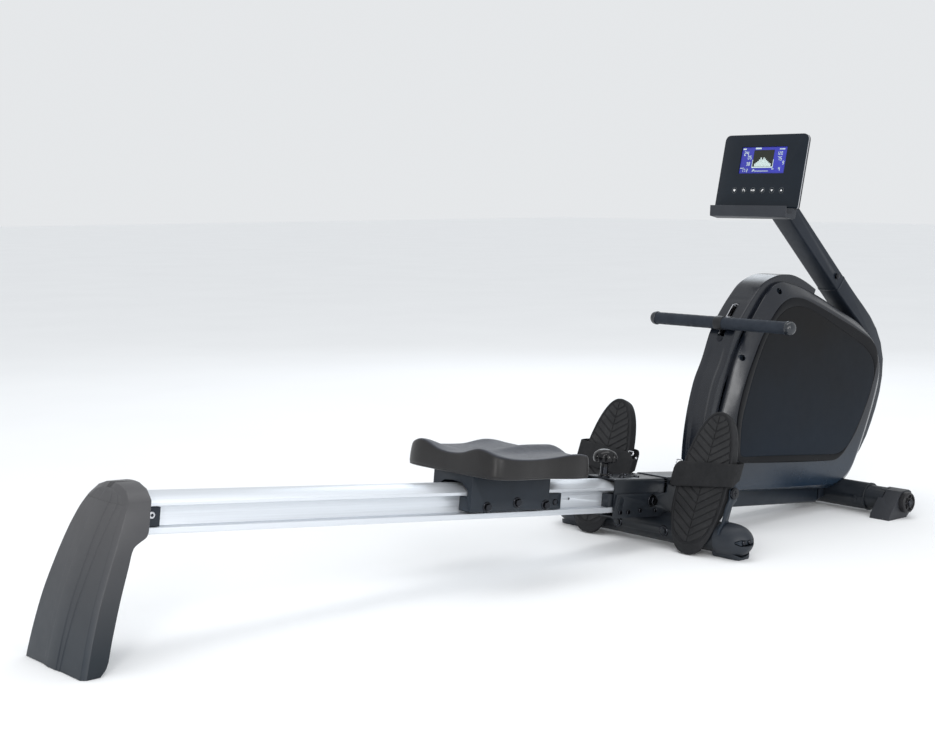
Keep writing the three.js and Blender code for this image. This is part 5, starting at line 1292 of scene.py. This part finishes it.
def pull_strap():
    """Flat webbing with rows of ribs along it, running from the handle to the drum."""
    ribs, spans, half = 14, 24, 7
    rings = []
    for x in [269.8 - 9.5 + k * (420 - 260.3) / spans for k in range(spans + 1)]:
        top = [
            (-half + 2 * half * k / (2 * ribs), 501.65 + (0.22 if k % 2 else 0)) for k in range(2 * ribs + 1)
        ]
        low = [(y, 500.55) for y, _ in (top[-1], top[0])]
        rings.append([(x, y, z) for y, z in top + low])
    ends = [MACHINE @ (Vector((x, 0, 501)) * MM) for x in (262, 420)]
    piece(
        "pull_webbing", loft(rings), WEBBING, body=("handle_body", "frame", *ends),
        replaces=("pull_strap",), smooth=20,
    )


pull_strap()


# ---------- console ----------
CONSOLE_HALF, CONSOLE_HIGH = 127, 183.9
SCREEN_HALF, SCREEN_LOW, SCREEN_HIGH = 69.5, 86, 153
KEYS = [(28.8 * (2.5 - i), 43.4) for i in range(6)]  # y and z of their centres


def rect(y0, y1, z0, z1):
    return [(y0, z0), (y1, z0), (y1, z1), (y0, z1)]


def plates(*rings):
    """The console's outline, drawn in by inset at depth x, for each (inset, x)."""
    made = []
    for inset, x in rings:
        half = CONSOLE_HALF - inset
        radius = 17 - inset * 0.6
        outline = filleted(rect(-half, half, inset, CONSOLE_HIGH - inset), [4, 4, radius, radius], 7)
        made.append([(x, y, z) for y, z in outline])
    return made


SEGMENTS = {
    "0": "abcdef", "1": "bc", "2": "abged", "3": "abgcd", "4": "fgbc",
    "5": "afgcd", "6": "afgedc", "7": "abc", "8": "abcdefg", "9": "abfgcd",
}


def digit(figure, y, z, high):
    """Outlines of a seven-segment figure; y is its left edge as read, so it runs to the machine's right."""
    wide, bar = high * 0.52, high * 0.13
    mid = high / 2
    bars = {"a": (high - bar, high), "g": (mid - bar / 2, mid + bar / 2), "d": (0, bar)}
    shapes = []
    for segment in SEGMENTS[figure]:
        if segment in bars:
            low, top = bars[segment]
            shapes.append(rect(y - wide * 0.9, y - wide * 0.1, z + low, z + top))
        else:
            left = segment in "ef"
            low = mid if segment in "bf" else 0
            at = y if left else y - wide + bar
            shapes.append(rect(at - bar, at, z + low + bar * 0.4, z + low + mid - bar * 0.4))
    return shapes


def marks(outlines, x0, x1):
    """Flat marks on the glass or a key: outlines in y and z, y to the machine's left."""
    return merged(*(prism(outline, "X", x0, x1) for outline in outlines))


def console():
    face = loft(plates((1.6, 0), (0.3, 0.5), (0.15, 1.2), (0.15, 2.9)))
    board = piece("console_front", face, GLOSS, CONSOLE, replaces=("console_face",), smooth=30)
    holes = [prism(rect(-SCREEN_HALF, SCREEN_HALF, SCREEN_LOW, SCREEN_HIGH), "X", -3, 6)]
    holes += [turned([(8.3, -3), (8.3, 6)], "X", at, 40) for at in KEYS]
    carved(board, *((hole, CONSOLE) for hole in holes))
    trim = loft(plates((0.2, 3), (-0.35, 3.3), (-0.35, 5.2), (0.2, 5.5), (3, 5.5), (3, 3)), loop=True)
    piece("console_trim", trim, STEEL, CONSOLE, smooth=30)
    back = loft(plates(
        (4, 5.6), (0.6, 5.6), (0, 6.2), (0, 9), (0.7, 11), (2.4, 13.2), (5, 14.8), (9, 15.5),
    ))
    shell = piece("console_back", back, BLACK_PLASTIC, CONSOLE, replaces=("console_body",), smooth=40)
    pockets = [rect(-74, 74, SCREEN_LOW - 4, SCREEN_HIGH + 4), rect(-84, 84, 32, 55)]
    cuts = [prism(pocket, "X", 0, 8.5) for pocket in pockets]
    vents = [filleted(rect(-60, 60, 128 + 9 * k, 131.5 + 9 * k), 1.6) for k in range(4)]
    cuts += [prism(vent, "X", 13.6, 20) for vent in vents]
    carved(shell, *((cut, CONSOLE) for cut in cuts))
    for k, (y, z) in enumerate(((-108, 20), (108, 20), (-108, 162), (108, 162))):
        piece(
            "console_screw_%d" % (k + 1), screw_head("X", (y, z), 4.2, 13.6, 16.2), DARK_STEEL, CONSOLE,
        )
    refined("console_screen", GLASS, bevel=0.4)
    display()
    refined("console_tray", TRAY, bevel=1.2, segments=3)


def display():
    """Pale figures and bars on the glass: a stepped graph in a dark window, and plain numbers."""
    x0, x1 = 1.45, 1.85
    window = prism(filleted(rect(-31, 31, 101, 145), 1.5), "X", x0 + 0.1, x1)
    piece("display_window", window, WINDOW, CONSOLE)
    graph = [rect(-31.5, 31.5, 100.2, 103.2), rect(-32.5, -31, 100.2, 121), rect(31, 32.5, 100.2, 121)]
    for k, high in enumerate([7, 10, 13, 17, 22, 17, 22, 19, 15, 12, 9, 7]):
        y = 25 - k * 4.25
        graph.append(rect(y - 3.7, y, 104, 104 + high))
    piece("display_graph", marks(graph, x0 - 0.1, x1 + 0.1), PALE, CONSOLE)
    figures = []
    for text, y, z, high in (
        ("24", 61, 131, 11), ("05", 48, 122, 9), ("38", 50, 106, 9), ("17", 61, 90, 8), ("2", 47, 90, 8),
        ("120", -40, 132, 8.5), ("75", -44, 118, 10), ("9", -60, 108, 9), ("4", -50, 92, 10),
    ):
        for k, figure in enumerate(text):
            figures += digit(figure, y - k * high * 0.72, z, high)
    figures += [
        rect(28, 10, 147.2, 151), rect(56, 66, 146, 149.5), rect(-62, -46, 145.5, 148),
        rect(-36, -30, 96, 98), rect(-20, 22, 91.4, 92.8), [(30, 91), (27, 91), (22, 96.5), (24, 96.5)],
        [(22, 91), (20, 91), (26, 97.5), (28, 97.5)], rect(56, 67, 99, 100.4),
    ]
    piece("display_figures", marks(figures, x0 - 0.1, x1), PALE, CONSOLE)


def arc_band(inner, outer, start, end, steps=20):
    """Outline of an arc about the origin, from start to end in degrees."""
    points = []
    for radius, order in ((outer, range(steps + 1)), (inner, range(steps, -1, -1))):
        for i in order:
            angle = (start + (end - start) * i / steps) * DEG
            points.append((radius * math.cos(angle), radius * math.sin(angle)))
    return points


def buttons():
    half_heart = [(3.1, -0.4), (3.4, 1.4), (2.2, 2.7), (0.8, 2.5)]
    heart = [(0, -3.6)] + half_heart + [(0, 1.5)] + [(-y, z) for y, z in reversed(half_heart)]
    icons = [
        [heart],
        [arc_band(2.3, 3.4, -60, 200), [(-4.6, -0.6), (-1.4, -0.6), (-3.0, -3.2)]],
        [
            [(6, 2.6), (6, -2.6), (2.2, 0)], rect(-0.4, 0.9, -2.6, 2.6), rect(-2.8, -1.5, -2.6, 2.6),
            [(-3.4, 2.4), (-3.4, -2.4), (-6, 0)],
        ],
        [[(3.6, -2.2), (2.0, -3.4), (-3.6, 1.6), (-2.4, 3.2), (0.6, 2.2)]],
        [[(-3.4, 1.9), (3.4, 1.9), (0, -2.9)]],
        [[(-3.4, -1.9), (0, 2.9), (3.4, -1.9)]],
    ]
    for i, shapes in enumerate(icons):
        node = "button_%d" % (i + 1)
        body = BODY_OF[node]
        y, z = KEYS[i]
        key = turned([
            (0.01, -0.3), (4, -0.36), (6.4, -0.42), (7.3, -0.35), (7.9, 0.1), (8, 0.6), (8, 3), (7.2, 3),
            (7.2, 3.3), (9.2, 3.3), (9.2, 4.6),
        ], "X", (y, z), 40)
        piece(node + "_key", key, GLOSS, CONSOLE, body, replaces=(node,), smooth=40)
        ring = turned([(6.9, -0.2), (6.9, -0.55), (7.4, -0.55), (7.4, -0.2)], "X", (y, z), 48, loop=True)
        icon = [[(y + a, z + b) for a, b in points] for points in shapes]
        piece(node + "_ring", ring, DIM_INK, CONSOLE, body)
        piece(node + "_icon", marks(icon, -0.62, -0.2), PALE_INK, CONSOLE, body)


console()
buttons()


# ---------- camera, light and floor ----------
def stage():
    camera = bpy.data.objects.new("camera", bpy.data.cameras.new("camera"))
    bpy.context.scene.collection.objects.link(camera)
    camera.location = MACHINE @ (Vector((-2790.15, -2495.86, 824.32)) * MM)
    forward = Vector((0.6593, 0.7433, -0.1131))
    camera.rotation_euler = forward.to_track_quat("-Z", "Y").to_euler()
    camera.data.lens = 61.82
    camera.data.clip_end = 100
    bpy.context.scene.camera = camera

    world = bpy.data.worlds.new("studio")
    bpy.context.scene.world = world
    world.use_nodes = True
    background = world.node_tree.nodes["Background"]
    background.inputs["Color"].default_value = (0.96, 0.98, 1.0, 1)
    background.inputs["Strength"].default_value = 0.82
    bpy.context.scene.view_settings.view_transform = "Standard"

    for name, spot, size, power, tint in LIGHTS:
        data = bpy.data.lights.new(name, "AREA")
        data.shape = "RECTANGLE"
        data.size, data.size_y = size
        data.energy = power
        data.color = tint
        lamp = bpy.data.objects.new(name, data)
        bpy.context.scene.collection.objects.link(lamp)
        lamp.location = spot
        lamp.rotation_euler = (LIGHT_AIM - Vector(spot)).to_track_quat("-Z", "Y").to_euler()

    half = 30
    corners = [(-half, -half, 0), (half, -half, 0), (half, half, 0), (-half, half, 0)]
    mesh = bpy.data.meshes.new("floor")
    mesh.from_pydata(corners, [], [(0, 1, 2, 3)])
    paint = Paint("floor", 0.9, Specular_IOR_Level=0.1)
    paint.colour(paint.blend(paint.spread(paint.noise(1.5, 2), 0, 1), (0.94, 0.95, 0.96), (0.96, 0.97, 0.98)))
    mesh.materials.append(paint.material)
    floor = bpy.data.objects.new("floor", mesh)
    bpy.context.scene.collection.objects.link(floor)


LIGHT_AIM = Vector((0.2, 0, 0.4))
# name, place, size, power and tint
LIGHTS = (
    ("key", (-2.6, -3.4, 3.2), (1.8, 1.4), 30, (1, 0.99, 0.97)),
    ("front", (-3.3, -2.3, 1.1), (0.6, 1.7), 34, (1, 0.98, 0.96)),
    ("side", (-0.5, -4.2, 1.6), (1.5, 1.5), 44, (1, 1, 1)),
    ("top", (0.3, 0.4, 4.2), (4.4, 1.4), 36, (1, 1, 1)),
    ("rim", (2.8, 2.6, 2.2), (1.6, 1.6), 16, (0.85, 0.92, 1)),
)
stage()
